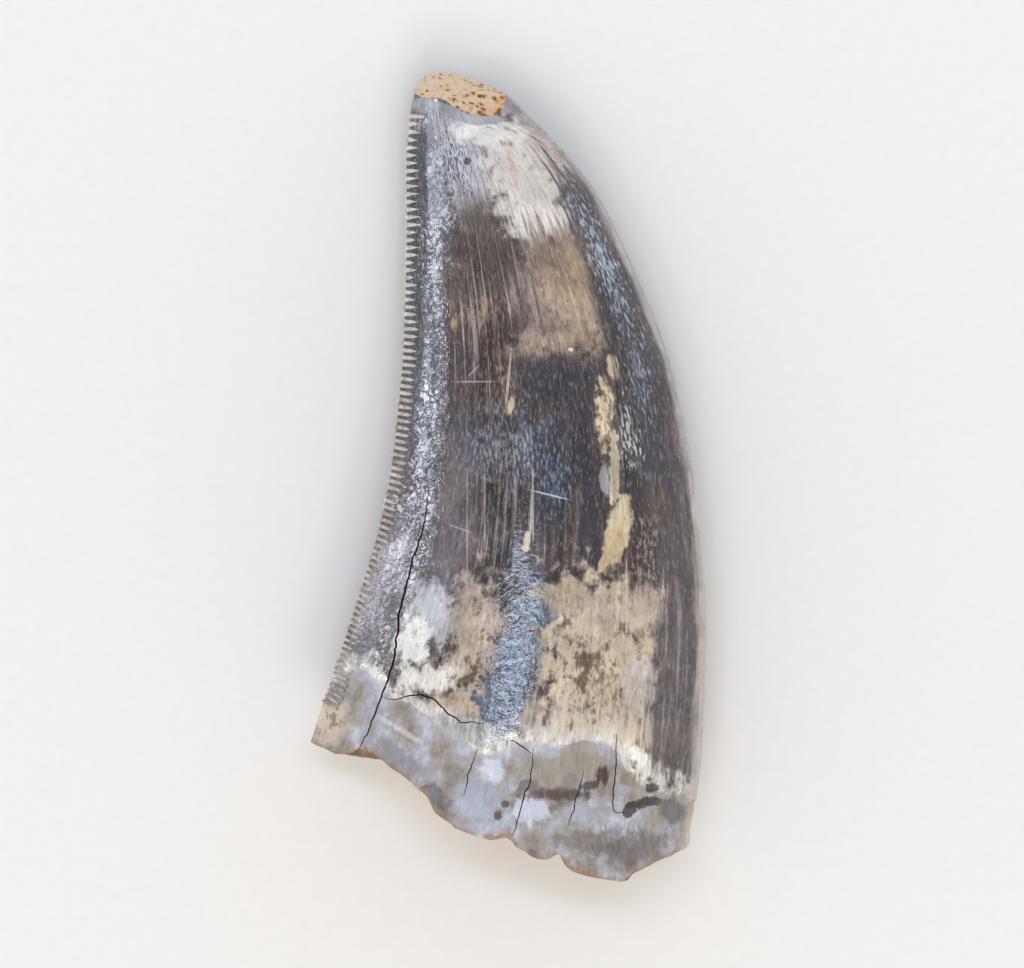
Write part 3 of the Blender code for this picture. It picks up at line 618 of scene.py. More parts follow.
# Bands that follow the growth, in the same form, but in mm across, from 0 at the rear edge to 24 at the
# front, and up, from 0 to 55
BANDS = [
    ("slate_band", (21.0, 36.0), (1.5, 12.0), 0, "#363945", 0.92, 0.35, "streaks"),
    ("black_border", (19.6, 36.0), (0.8, 5.5), 0, "#211F28", 0.9, 0.4, "streaks"),
    ("violet_black", (21.6, 28.0), (1.0, 5.0), 0, "#2A2530", 0.9, 0.35, "streaks"),
    ("slate_flecks", (21.2, 41.0), (1.9, 9.5), 0, "#9FAAB9", 0.9, 0.3, "flecks"),
    ("slate_flecks_low", (21.0, 33.0), (1.6, 6.0), 0, "#8D97A6", 0.7, 0.4, "dashes"),
    ("dark_band_low", (21.7, 12.0), (1.2, 8.0), 0, "#51474B", 0.9, 0.4, "streaks"),
    ("dark_lines_low", (21.9, 12.0), (1.5, 9.0), 0, "#A89B95", 0.4, 0.4, "lines"),
    ("slate_under_painted_highlight", (2.6, 30.0), (1.3, 14.0), 0, "#3C404C", 0.9, 0.4, "streaks"),
    ("slate_near_the_tip", (4.2, 47.0), (1.7, 4.5), 0, "#4A4D5A", 0.75, 0.5, "streaks"),
    # painted highlight: these bands beside the rear edge are the blue-white sheen of the rear flank, cut into
    # facets by the crinkles, over the gloss that the low panel really gives
    ("painted_highlight_near_the_tip", (4.2, 47.0), (2.2, 5.0), 0, "#B4B9C6", 0.9, 0.4, "crinkles"),
    ("painted_highlight_band_high", (3.2, 40.5), (0.65, 6.5), 0, "#B7BECC", 0.95, 0.35, "crinkles"),
    ("painted_highlight_band_neck", (2.4, 33.0), (0.5, 4.2), 0, "#A9B0BE", 0.9, 0.35, "crinkles"),
    ("painted_highlight_band_middle", (2.6, 25.8), (0.85, 4.4), 0, "#C1C8D5", 0.95, 0.35, "crinkles"),
    ("painted_highlight_band_low", (2.4, 17.0), (1.25, 6.6), 0, "#BCC1CC", 0.95, 0.35, "crinkles"),
    ("lilac_by_serrations", (1.3, 12.5), (1.2, 7.0), 0, "#85828D", 0.8, 0.4, "streaks"),
    # painted highlight: the sheen along the serrations low on the tooth
    ("painted_highlight_by_serrations", (1.3, 12.5), (1.2, 7.0), 0, "#B3B2BC", 0.9, 0.4, "crinkles"),
]

# What breaks the stains up. Each noise follows the growth (grain) or lies freely (place), and has so many
# features in a mm: streaks are 0.5 by 5 mm, blotches 1 mm, dashes 0.2 by 0.7 mm and lines 0.3 by 10 mm. The
# growth lines of real enamel are finer, and are drawn this coarse to show. Each kind gives the range that it
# takes from its noise, and what the two ends of that range add to a stain's reach.
NOISES = [
    ("grain", (1.9, 0.2, 1), 4.0, {"streaks": (0.2, 0.8, -1.1, 1.1)}),
    ("place", (1.15, 0.95, 1), 5.0, {
        "blotches": (0.2, 0.8, -0.95, 0.95), "solid": (0.2, 0.8, -0.35, 0.35),
        "blots": (0.46, 0.66, 1.2, 0)}),
    ("grain", (5.0, 1.5, 1), 3.0, {"dashes": (0.44, 0.66, 1.2, 0), "flecks": (0.42, 0.66, 1.2, -0.1)}),
    ("grain", (3.4, 0.1, 1), 2.0, {"lines": (0.46, 0.72, 1.15, 0)}),
]

# Clouds of about 2 mm, crinkles of about half a millimetre, and grains of 0.2 by 0.8 mm, in features to a mm
CLOUDS = 0.42
CRINKLES = (1.8, 2.2, 1.8)
GRAINS = (5.5, 1.3, 1)

# The stains of the hidden side stray by up to half this many mm, so that the two sides differ
STRAY = 26

# The root's colours, from the darkest of its clouds to the palest
ROOT_COLOURS = [
    (0.1, "#6B6566"), (0.3, "#938C84"), (0.45, "#A79E95"), (0.56, "#A5A6AE"), (0.7, "#B4B9C7"),
    (0.88, "#D2CEC7"),
]

# The dark strip beside the rear edge: its width as a share of the tooth's, and its colours, both by height.
# It ends below the tip, at these heights in mm, and above the enamel's edge, by these distances.
REAR_STRIP = [
    (0, 0.0), (0.36, 0.01), (0.47, 0.062), (0.6, 0.072), (0.7, 0.088), (0.82, 0.12), (0.92, 0.15), (1, 0.18),
]
REAR_COLOURS = [
    (0.0, "#6E6862"), (0.4, "#5F5B60"), (0.5, "#3C3D4A"), (0.7, "#262831"), (0.84, "#15121C"),
    (0.95, "#15121C"),
]
STRIP_TOP = (51.6, 52.6)
STRIP_FOOT = (0.5, 2.0)

# How soft and how wavering the lines of that strip and of the front margin are
STRIP_EASE = 0.25
WAVER = 0.35

# The painted reflection along the front edge, in mm across, and the heights between which its beige turns to
# lilac
FRONT_RIM_REFLECTION = (23.1, 23.7)
LILAC_ABOVE = (20, 30)

# Enamel is crinkled within this many mm of the rear edge, and below these heights a little all over
CRINKLED = (3.6, 5.0)
CRINKLED_LOW = (14, 18)
CRINKLE_DEPTH = 0.1

# A brown rim this many mm wide runs along the broken base
BROWN_RIM = 0.5

# Typical of bone mineral, denser in enamel than in dentine
ENAMEL_IOR = 1.63
DENTINE_IOR = 1.55


def break_ups(tree, grain, place, clouds):
    """The amount that each kind of pattern adds to a stain's reach, and the noise of the crinkles."""
    amounts = {}
    for follows, scale, detail, kinds in NOISES:
        where = {"grain": grain, "place": place}[follows]
        scaled = add(tree, "ShaderNodeVectorMath", [where, scale], operation="MULTIPLY")
        noise = add(tree, "ShaderNodeTexNoise", {
            "Vector": scaled, "Scale": 1.0, "Detail": detail, "Roughness": 0.62})
        for kind, limits in kinds.items():
            amounts[kind] = add(tree, "ShaderNodeMapRange", [noise, *limits])

    # Crinkles are facets, parted by a line where the noise crosses its middle, and they come in patches. They
    # cut the painted highlight bands into bright facets, as glints on crumpled foil.
    crinkles = add(tree, "ShaderNodeVectorMath", [place, CRINKLES], operation="MULTIPLY")
    crinkles = add(tree, "ShaderNodeTexNoise", {
        "Vector": crinkles, "Scale": 1.0, "Detail": 3.0, "Roughness": 0.55, "Distortion": 0.6})
    wrinkle = add(tree, "ShaderNodeMath", [crinkles, 0.5], operation="SUBTRACT")
    wrinkle = add(tree, "ShaderNodeMath", [wrinkle], operation="ABSOLUTE")
    patches = add(tree, "ShaderNodeMapRange", [clouds, 0.4, 0.54, 0.5, 0])
    facets = add(tree, "ShaderNodeMapRange", [wrinkle, 0, 0.1, 1.1, -0.35])
    amounts["crinkles"] = add(tree, "ShaderNodeMath", [facets, patches], operation="ADD")
    return amounts, crinkles


def stained(tree, colour, stains, where, amounts):
    """The colour with a list of stains over it, some of them painted highlights and painted reflections."""
    for name, middle, size, turn, code, cover, softness, kind in stains:
        spread = add(tree, "ShaderNodeGroup", {
            "Under": colour, "Stain": linear(code), "Place": where, "Middle": (*middle, 0),
            "Turn": (0, 0, math.radians(turn)), "Size": (*size, 1), "Softness": softness, "Cover": cover,
            "Break up": amounts[kind]}, node_tree=stain, label=name)
        colour, where = spread.outputs
    return colour


def stained_enamel():
    """Fossil enamel, laid down glossy and stained in the ground, with the bare root below its ragged edge.

    Dark enamel keeps its gloss, so the eye reads it as polished. Pale enamel is chalky and dull, and the root
    is matt.
    """
    material, tree = new_material("stained fossil enamel")
    place = millimetres(tree)
    grain = add(tree, "ShaderNodeAttribute", attribute_name="grain").outputs["Vector"]
    upper = add(tree, "ShaderNodeAttribute", attribute_name="upper side").outputs["Fac"]
    over_edge = add(tree, "ShaderNodeAttribute", attribute_name="over the enamel edge").outputs["Fac"]
    x, y = add(tree, "ShaderNodeSeparateXYZ", [grain]).outputs[:2]
    clouds = add(tree, "ShaderNodeTexNoise", {
        "Vector": place, "Scale": CLOUDS, "Detail": 5.0, "Roughness": 0.6})
    amounts, crinkles = break_ups(tree, grain, place, clouds)

    # The upper side's stains lie as in the photo. Below, the same kinds lie elsewhere.
    wander = add(tree, "ShaderNodeTexNoise", {"Vector": place, "Scale": 0.12, "Detail": 1.0}).outputs["Color"]
    wander = add(tree, "ShaderNodeVectorMath", [wander, (0.5, 0.5, 0.5)], operation="SUBTRACT")
    stray = add(tree, "ShaderNodeMapRange", [upper, 0, 1, STRAY, 0])
    wander = add(tree, "ShaderNodeVectorMath", {"Vector": wander, "Scale": stray}, operation="SCALE")
    spot = add(tree, "ShaderNodeVectorMath", [place, wander])
    spot = add(tree, "ShaderNodeVectorMath", [spot, (1, 1, 0)], operation="MULTIPLY")
    flat_grain = add(tree, "ShaderNodeVectorMath", [grain, (1, 1, 0)], operation="MULTIPLY")
    ground = add(tree, "ShaderNodeMapRange", [amounts["streaks"], -0.4, 0.4, 0, 1])
    colour = add(tree, "ShaderNodeMix", [ground, linear("#262229"), linear("#564A47")], data_type="RGBA")
    colour = stained(tree, colour, STAINS, spot, amounts)
    chalk = add(tree, "ShaderNodeRGBToBW", [colour])
    colour = stained(tree, colour, BANDS, flat_grain, amounts)

    # The root, with the white lower margin of the enamel above it and a brown rim below
    mottles = add(tree, "ShaderNodeMapRange", [clouds, 0.25, 0.75, 0, 1])
    root = draw_ramp(add(tree, "ShaderNodeValToRGB", [mottles]), ROOT_COLOURS)
    streaked = add(tree, "ShaderNodeMath", [ground, 0.2], operation="MULTIPLY")
    root = add(tree, "ShaderNodeMix", [streaked, root.outputs["Color"], linear("#7A716C")], data_type="RGBA")
    thick = add(tree, "ShaderNodeMath", [amounts["blotches"], 1.9, over_edge], operation="MULTIPLY_ADD")
    margin = add(tree, "ShaderNodeMapRange", [thick, 0.2, 1.7, 0.95, 0], interpolation_type="SMOOTHSTEP")
    colour = add(tree, "ShaderNodeMix", [margin, colour, linear("#D3CFC7")], data_type="RGBA")
    enamel = add(tree, "ShaderNodeMapRange", [over_edge, -0.1, 0.1, 0, 1], interpolation_type="SMOOTHSTEP")
    colour = add(tree, "ShaderNodeMix", [enamel, root, colour], data_type="RGBA")
    colour = stained(tree, colour, ROOT_STAINS, spot, amounts)
    patchy = add(tree, "ShaderNodeMath", [amounts["blotches"], 0.8], operation="MULTIPLY")
    rim = add(tree, "ShaderNodeMath", [y, patchy], operation="ADD")
    rim = add(tree, "ShaderNodeMapRange", [rim, 0.0, BROWN_RIM, 0.85, 0], interpolation_type="SMOOTHSTEP")
    colour = add(tree, "ShaderNodeMix", [rim, colour, linear("#9C7C58")], data_type="RGBA")

    # The dark strip by the rear serrations
    across = add(tree, "ShaderNodeMath", [amounts["streaks"], WAVER, x], operation="MULTIPLY_ADD")
    height = add(tree, "ShaderNodeMath", [y, GRAIN_LENGTH], operation="DIVIDE")
    reach = draw_curve(add(tree, "ShaderNodeFloatCurve", [1, height]), REAR_STRIP)
    reach = add(tree, "ShaderNodeMath", [reach, GRAIN_WIDTH], operation="MULTIPLY")
    rear = add(tree, "ShaderNodeMath", [across, reach], operation="SUBTRACT")
    rear = add(tree, "ShaderNodeMapRange", [rear, -STRIP_EASE, STRIP_EASE, 0.95, 0],
               interpolation_type="SMOOTHSTEP")
    on_enamel = add(tree, "ShaderNodeMapRange", [over_edge, *STRIP_FOOT, 0, 1])
    below_tip = add(tree, "ShaderNodeMapRange", [y, *STRIP_TOP, 1, 0])
    on_enamel = add(tree, "ShaderNodeMath", [on_enamel, below_tip], operation="MULTIPLY")
    rear = add(tree, "ShaderNodeMath", [rear, on_enamel], operation="MULTIPLY")
    rear_colour = draw_ramp(add(tree, "ShaderNodeValToRGB", [height]), REAR_COLOURS)
    colour = add(tree, "ShaderNodeMix", [rear, colour, rear_colour.outputs["Color"]], data_type="RGBA")

    # Fine streaks over everything, and grains that are paler or darker
    fine = add(tree, "ShaderNodeMapRange", [amounts["lines"], 0, 1.15, 1.25, 0.93])
    for measure, limits in (
            (amounts["dashes"], (0, 1.2, 1.22, 0.9)), (amounts["streaks"], (-0.5, 0.5, 0.82, 1.18)),
            (clouds, (0.36, 0.64, 0.66, 1.34))):
        shade = add(tree, "ShaderNodeMapRange", [measure, *limits])
        fine = add(tree, "ShaderNodeMath", [fine, shade], operation="MULTIPLY")
    amount = add(tree, "ShaderNodeMapRange", [chalk, 0.3, 0.6, 1, 0.35])
    on_crown = add(tree, "ShaderNodeMapRange", [enamel, 0, 1, 0.35, 1])
    amount = add(tree, "ShaderNodeMath", [amount, on_crown], operation="MULTIPLY")
    fine = add(tree, "ShaderNodeMix", [amount, 1.0, fine], data_type="FLOAT")
    colour = add(tree, "ShaderNodeVectorMath", {"Vector": colour, "Scale": fine}, operation="SCALE")
    grains = add(tree, "ShaderNodeVectorMath", [grain, GRAINS], operation="MULTIPLY")
    grains = add(tree, "ShaderNodeTexNoise", {
        "Vector": grains, "Scale": 1.0, "Detail": 4.0, "Roughness": 0.7})
    for limits, code in (((0.53, 0.66, 0, 0.3), "#B4B1B8"), ((0.33, 0.47, 0.5, 0), "#2A2427")):
        shown = add(tree, "ShaderNodeMapRange", [grains, *limits], interpolation_type="SMOOTHSTEP")
        shown = add(tree, "ShaderNodeMath", [shown, on_crown], operation="MULTIPLY")
        colour = add(tree, "ShaderNodeMix", [shown, colour, linear(code)], data_type="RGBA")

    # The front edge's pale margin, lilac-grey above and beige lower down, that the dark enamel shows through:
    # painted reflection, the pale rim that glossy enamel mirrors where it turns away towards the edge
    clouded = add(tree, "ShaderNodeMapRange", [clouds, 0.38, 0.62, 0, 1])
    # breaks the painted rim reflection up along the growth lines
    worn = add(tree, "ShaderNodeMapRange", [amounts["lines"], 0, 1.15, 0.4, 0.95])
    lilac = add(tree, "ShaderNodeMix", [clouded, linear("#86818B"), linear("#B8B4BC")], data_type="RGBA")
    beige = add(tree, "ShaderNodeMix", [clouded, linear("#A69A92"), linear("#CFC5BD")], data_type="RGBA")
    low_down = add(tree, "ShaderNodeMath", [amounts["blotches"], 6.0, y], operation="MULTIPLY_ADD")
    low_down = add(tree, "ShaderNodeMapRange", [low_down, *LILAC_ABOVE, 1, 0],
                   interpolation_type="SMOOTHSTEP")
    rim_reflection_colour = add(tree, "ShaderNodeMix", [low_down, lilac, beige], data_type="RGBA")
    # where the painted rim reflection lies, near the front edge
    front = add(tree, "ShaderNodeMapRange", [across, *FRONT_RIM_REFLECTION, 0, 1], interpolation_type="SMOOTHSTEP")
    front = add(tree, "ShaderNodeMath", [front, worn], operation="MULTIPLY")
    colour = add(tree, "ShaderNodeMix", [front, colour, rim_reflection_colour], data_type="RGBA")

    # Crinkled enamel beside the rear edge, nearly smooth elsewhere
    elsewhere = add(tree, "ShaderNodeMapRange", [y, *CRINKLED_LOW, 0.55, 0.1],
                    interpolation_type="SMOOTHSTEP")
    strong = add(tree, "ShaderNodeMapRange", [x, *CRINKLED, 1, elsewhere], interpolation_type="SMOOTHSTEP")
    relief = add(tree, "ShaderNodeMath", [crinkles, strong], operation="MULTIPLY")
    polish = add(tree, "ShaderNodeMapRange", [chalk, 0.12, 0.4, 0.11, 0.4])
    roughness = add(tree, "ShaderNodeMix", [enamel, 0.5, polish], data_type="FLOAT")
    surface(tree, colour, relief, CRINKLE_DEPTH, roughness, ENAMEL_IOR)
    return material


# The rusty stain of the tip deepens towards the facet's lower front, as this much a mm, and from this level
RUST_SLOPE = (0.05, -0.09, 0)
RUST_LEVEL = 2.85


def porous_dentine():
    """Worn dentine at the tip: cream bone mineral full of fine pores that rust-brown iron oxide has ringed.

    It is open and matt, so the eye reads it as spongy beside the glossy enamel. The pores are half a
    millimetre apart. Those of real dentine are far finer, and are drawn as coarse as they need to show.
    """
    material, tree = new_material("porous worn dentine")
    place = millimetres(tree)
    warp = add(tree, "ShaderNodeTexNoise", {"Vector": place, "Scale": 2.2, "Detail": 2.0}).outputs["Color"]
    warp = add(tree, "ShaderNodeVectorMath", [warp, (0.5, 0.5, 0.5)], operation="SUBTRACT")
    warped = add(tree, "ShaderNodeVectorMath", [warp, (0.25, 0.25, 0.25), place], operation="MULTIPLY_ADD")
    cells = add(tree, "ShaderNodeTexVoronoi", {"Vector": warped, "Scale": 2.0, "Randomness": 1.0},
                feature="F1")
    rusty = add(tree, "ShaderNodeTexNoise", {"Vector": place, "Scale": 0.9, "Detail": 4.0, "Roughness": 0.6})
    slope = add(tree, "ShaderNodeVectorMath", [place, RUST_SLOPE], operation="DOT_PRODUCT").outputs["Value"]
    slope = add(tree, "ShaderNodeMath", [slope, RUST_LEVEL], operation="ADD")
    rusty = add(tree, "ShaderNodeMath", [rusty, slope], operation="ADD")
    size = add(tree, "ShaderNodeMapRange", [rusty, 0.3, 0.8, 0.18, 0.48])
    inside = add(tree, "ShaderNodeMath", [cells.outputs["Distance"], size], operation="SUBTRACT")
    warmth = add(tree, "ShaderNodeMapRange", [rusty, 0.5, 1.0, 0, 1])
    colour = add(tree, "ShaderNodeMix", [warmth, linear("#E2CDB1"), linear("#D9AF7A")], data_type="RGBA")
    halo = add(tree, "ShaderNodeMapRange", [inside, -0.02, 0.26, 0.85, 0], interpolation_type="SMOOTHSTEP")
    pore = add(tree, "ShaderNodeMapRange", [inside, -0.08, 0.02, 0.9, 0], interpolation_type="SMOOTHSTEP")
    grains = add(tree, "ShaderNodeTexNoise", {"Vector": place, "Scale": 6.0, "Detail": 3.0})
    dots = add(tree, "ShaderNodeMapRange", [grains, 0.6, 0.7, 0, 0.5])
    for mask, code in ((halo, "#CB8B42"), (pore, "#85430F"), (dots, "#A9642F")):
        colour = add(tree, "ShaderNodeMix", [mask, colour, linear(code)], data_type="RGBA")
    sunk = add(tree, "ShaderNodeMath", [pore, 1.2], operation="MULTIPLY")
    relief = add(tree, "ShaderNodeMath", [grains, sunk], operation="SUBTRACT")
    surface(tree, colour, relief, depth=0.08, roughness=0.6, ior=DENTINE_IOR, strength=0.6)
    return material


def broken_root():
    """The broken base: rough brown-grey root dentine round the dark hollow where the pulp was.

    It looks earthy and quite matt, with clouds of 2 mm and specks of a third of a millimetre.
    """
    material, tree = new_material("broken root dentine")
    place = millimetres(tree)
    coarse = add(tree, "ShaderNodeTexNoise", {
        "Vector": place, "Scale": 0.55, "Detail": 6.0, "Roughness": 0.65})
    fine = add(tree, "ShaderNodeTexNoise", {"Vector": place, "Scale": 3.5, "Detail": 4.0, "Roughness": 0.6})
    colour = draw_ramp(add(tree, "ShaderNodeValToRGB", [coarse]), [
        (0.3, "#5E4A3A"), (0.42, "#8E7458"), (0.55, "#B49A7C"), (0.7, "#C9BBA8")]).outputs["Color"]
    specks = add(tree, "ShaderNodeMapRange", [fine, 0.56, 0.68, 0, 0.75])
    colour = add(tree, "ShaderNodeMix", [specks, colour, linear("#4A3A30")], data_type="RGBA")
    surface(tree, colour, fine, depth=0.16, roughness=0.75, ior=DENTINE_IOR, strength=0.8)
    return material


rear_line = guide_line("rear_line", REAR_EDGE)
front_line = guide_line("front_line", FRONT_EDGE)
tooth = grown("fossil_tooth", crown_tree(), {
    "Rear edge": rear_line, "Front edge": front_line, "Columns": COLUMNS, "Rows": ROWS,
    "Cap rings": CAP_RINGS, "Enamel step": ENAMEL_STEP, "Skin": stained_enamel(),
    "Tip break": porous_dentine(), "Base break": broken_root()})

# Serrations of the two edges. Each is a chisel of enamel that grew across the edge, with a groove between it
# and the next. The rear ones are large and square. The front ones are lower and worn.

REAR_SERRATIONS = {
    "Number": 88, "Pitch at the base": 0.42, "Pitch at the tip": 0.585, "Lowest": 0.065, "Highest": 0.965,
    "Rise": 0.13, "Root": 1.12, "Sunk": -0.1, "End half": 0.34, "Width share": 0.68, "Side": -1.0,
    "Tilt": 0.12, "Wear": 0.12}
FRONT_SERRATIONS = {
    "Number": 27, "Pitch at the base": 0.58, "Pitch at the tip": 0.58, "Lowest": 0.60, "Highest": 0.86,
    "Rise": 0.10, "Root": 0.30, "Sunk": 0.06, "End half": 0.22, "Width share": 0.62, "Side": 1.0, "Tilt": 0.0,
    "Wear": 0.25}

# One serration: its sides, steps along it and rings, how square its section is, its rounded end in mm, how
# its thickness falls towards that end, and how much flatter it is below
BAR_MESH = (12, 5, 3)
SQUARENESS = 0.6
END_ROUND = 0.12
THINNING = 1.15
LOWER_BAR = 0.82

# A row: a step in height for finding the edge's direction, the heights between which its serrations stop
# leaning, and a hair that keeps an even row's sum from dividing by nothing
NEAR = 0.004
LEAN_SPAN = (0.35, 0.75)
NOT_EVEN = 1.0001


def serration_tree():
    """A row of serrations along an edge, whose pitch changes evenly from the base to the tip."""
    tree, given = new_tree("serrations", [
        ("Rear edge", "Object"), ("Front edge", "Object"), ("Number", "Int"),
        *((label, "Float") for label in REAR_SERRATIONS if label != "Number"), ("Seed", "Int"),
        ("Enamel", "Material")], [("Mesh", "Geometry")])

    # One serration, pointing along +X: a bar with rounded corners that thins to a rounded end
    bar = add(tree, "GeometryNodeMeshCylinder", [*BAR_MESH, 1, 1], fill_type="TRIANGLE_FAN").outputs["Mesh"]
    at = add(tree, "ShaderNodeSeparateXYZ", [add(tree, "GeometryNodeInputPosition")]).outputs
    along = add(tree, "ShaderNodeMath", [at[2], 0.5], operation="ADD", use_clamp=True)
    flat = add(tree, "ShaderNodeCombineXYZ", [at[0], at[1]])
    reach = add(tree, "ShaderNodeVectorMath", [flat], operation="LENGTH").outputs["Value"]
    corners = []
    for axis in (at[0], at[1]):
        size = add(tree, "ShaderNodeMath", [axis], operation="ABSOLUTE")
        size = add(tree, "ShaderNodeMath", [size, SQUARENESS], operation="POWER")
        sign = add(tree, "ShaderNodeMath", [axis], operation="SIGN")
        corners.append(add(tree, "ShaderNodeMath", [size, sign], operation="MULTIPLY"))
    bulge = add(tree, "ShaderNodeMath", [reach, reach], operation="MULTIPLY")
    bulge = add(tree, "ShaderNodeMath", [1, bulge], operation="SUBTRACT", use_clamp=True)
    bulge = add(tree, "ShaderNodeMath", [bulge, 0.5], operation="POWER")
    outer = add(tree, "ShaderNodeMath", [along, 0.5], operation="GREATER_THAN")
    bulge = add(tree, "ShaderNodeMath", [bulge, outer], operation="MULTIPLY")
    length = add(tree, "ShaderNodeMath", [given["Rise"], given["Root"]], operation="ADD")
    length = add(tree, "ShaderNodeMath", [length, END_ROUND], operation="SUBTRACT")
    start = add(tree, "ShaderNodeMath", [given["Root"], -1], operation="MULTIPLY")
    x = add(tree, "ShaderNodeMath", [along, length, start], operation="MULTIPLY_ADD")
    x = add(tree, "ShaderNodeMath", [bulge, END_ROUND, x], operation="MULTIPLY_ADD")
    thin = add(tree, "ShaderNodeMath", [along, THINNING], operation="POWER")
    half = add(tree, "ShaderNodeMix", [thin, 1.0, given["End half"]], data_type="FLOAT")
    y = add(tree, "ShaderNodeMath", [corners[0], 0.5], operation="MULTIPLY")
    z = add(tree, "ShaderNodeMath", [corners[1], half], operation="MULTIPLY")
    below = add(tree, "ShaderNodeMath", [z, LOWER_BAR], operation="MULTIPLY")
    z = add(tree, "ShaderNodeMath", [z, below], operation="MAXIMUM")
    bar = add(tree, "GeometryNodeSetPosition", {
        "Geometry": bar, "Position": add(tree, "ShaderNodeCombineXYZ", [x, y, z])})

    # Stations whose spacing grows evenly along the edge
    index = add(tree, "GeometryNodeInputIndex")
    last = add(tree, "ShaderNodeMath", [given["Number"], 1], operation="SUBTRACT")
    step = add(tree, "ShaderNodeMath", [index, last], operation="DIVIDE")
    ratio = add(tree, "ShaderNodeMath", [given["Pitch at the tip"], given["Pitch at the base"]],
                operation="DIVIDE")
    ratio = add(tree, "ShaderNodeMath", [ratio, NOT_EVEN], operation="MULTIPLY")
    grown_by = add(tree, "ShaderNodeMath", [ratio, step], operation="POWER")
    up = add(tree, "ShaderNodeMath", [grown_by, 1], operation="SUBTRACT")
    whole = add(tree, "ShaderNodeMath", [ratio, 1], operation="SUBTRACT")
    up = add(tree, "ShaderNodeMath", [up, whole], operation="DIVIDE")
    height = add(tree, "ShaderNodeMapRange", [up, 0, 1, given["Lowest"], given["Highest"]])
    share = add(tree, "ShaderNodeMath", [given["Side"], 0], operation="GREATER_THAN")
    other = add(tree, "ShaderNodeMath", [1, share], operation="SUBTRACT")
    places = []
    for shift, across in ((-NEAR, share), (0, share), (NEAR, share), (0, other)):
        place = add(tree, "GeometryNodeGroup", {
            "Rear edge": given["Rear edge"], "Front edge": given["Front edge"],
            "Height": add(tree, "ShaderNodeMath", [height, shift]), "Share": across}, node_tree=skin)
        axes = add(tree, "ShaderNodeSeparateXYZ", [place.outputs["Position"]]).outputs
        places.append(add(tree, "ShaderNodeCombineXYZ", [axes[0], axes[1], place.outputs["Level"]]))

    # How thick the tooth is where the roots of the serrations come out of its flank
    width = add(tree, "ShaderNodeVectorMath", [places[1], places[3]], operation="DISTANCE").outputs["Value"]
    inward = add(tree, "ShaderNodeMath", [given["Root"], width], operation="DIVIDE")
    inward = add(tree, "ShaderNodeMath", [share, inward], operation="SUBTRACT")
    inward = add(tree, "ShaderNodeMath", [inward], operation="ABSOLUTE")
    flank = add(tree, "GeometryNodeGroup", {
        "Rear edge": given["Rear edge"], "Front edge": given["Front edge"], "Height": height, "Share": inward,
        "Above": 1.0}, node_tree=skin)
    thickness = add(tree, "ShaderNodeSeparateXYZ", [flank.outputs["Position"]]).outputs[2]
    for lower in (flank.outputs["Level"], given["Sunk"]):
        thickness = add(tree, "ShaderNodeMath", [thickness, lower], operation="SUBTRACT")

    # Each stands across the edge, some a little shorter where they are worn
    forward = add(tree, "ShaderNodeVectorMath", [places[2], places[0]], operation="SUBTRACT")
    up_axis = add(tree, "ShaderNodeCombineXYZ", [0, 0, given["Side"]])
    outward = add(tree, "ShaderNodeVectorMath", [forward, up_axis], operation="CROSS_PRODUCT")
    lean = add(tree, "ShaderNodeMapRange", [height, *LEAN_SPAN, given["Tilt"], 0])
    lean = add(tree, "ShaderNodeMath", [lean, given["Side"]], operation="MULTIPLY")
    outward = add(tree, "ShaderNodeVectorRotate", {"Vector": outward, "Angle": lean}, rotation_type="Z_AXIS")
    facing = add(tree, "FunctionNodeAxesToRotation", [(0, 0, 1), outward], primary_axis="Z",
                 secondary_axis="X")
    pitch = add(tree, "ShaderNodeMix", [up, given["Pitch at the base"], given["Pitch at the tip"]],
                data_type="FLOAT")
    width = add(tree, "ShaderNodeMath", [pitch, given["Width share"]], operation="MULTIPLY")
    least = add(tree, "ShaderNodeMath", [1, given["Wear"]], operation="SUBTRACT")
    fresh = add(tree, "FunctionNodeRandomValue", {"Min": least, "Max": 1.0, "Seed": given["Seed"]},
                data_type="FLOAT")
    points = add(tree, "GeometryNodePoints", [given["Number"], places[1]])
    row = add(tree, "GeometryNodeInstanceOnPoints", {
        "Points": points, "Instance": bar, "Rotation": facing,
        "Scale": add(tree, "ShaderNodeCombineXYZ", [fresh, width, thickness])})
    row = add(tree, "GeometryNodeSetShadeSmooth", {"Geometry": row})
    row = add(tree, "GeometryNodeRealizeInstances", [row])
    row = add(tree, "GeometryNodeSetMaterial", {"Geometry": row, "Material": given["Enamel"]})
    add(tree, "NodeGroupOutput", [row])
    return tree


# The serrations' enamel turns from brown to grey between these places along the tooth
GREY_ABOVE = (8, 20)


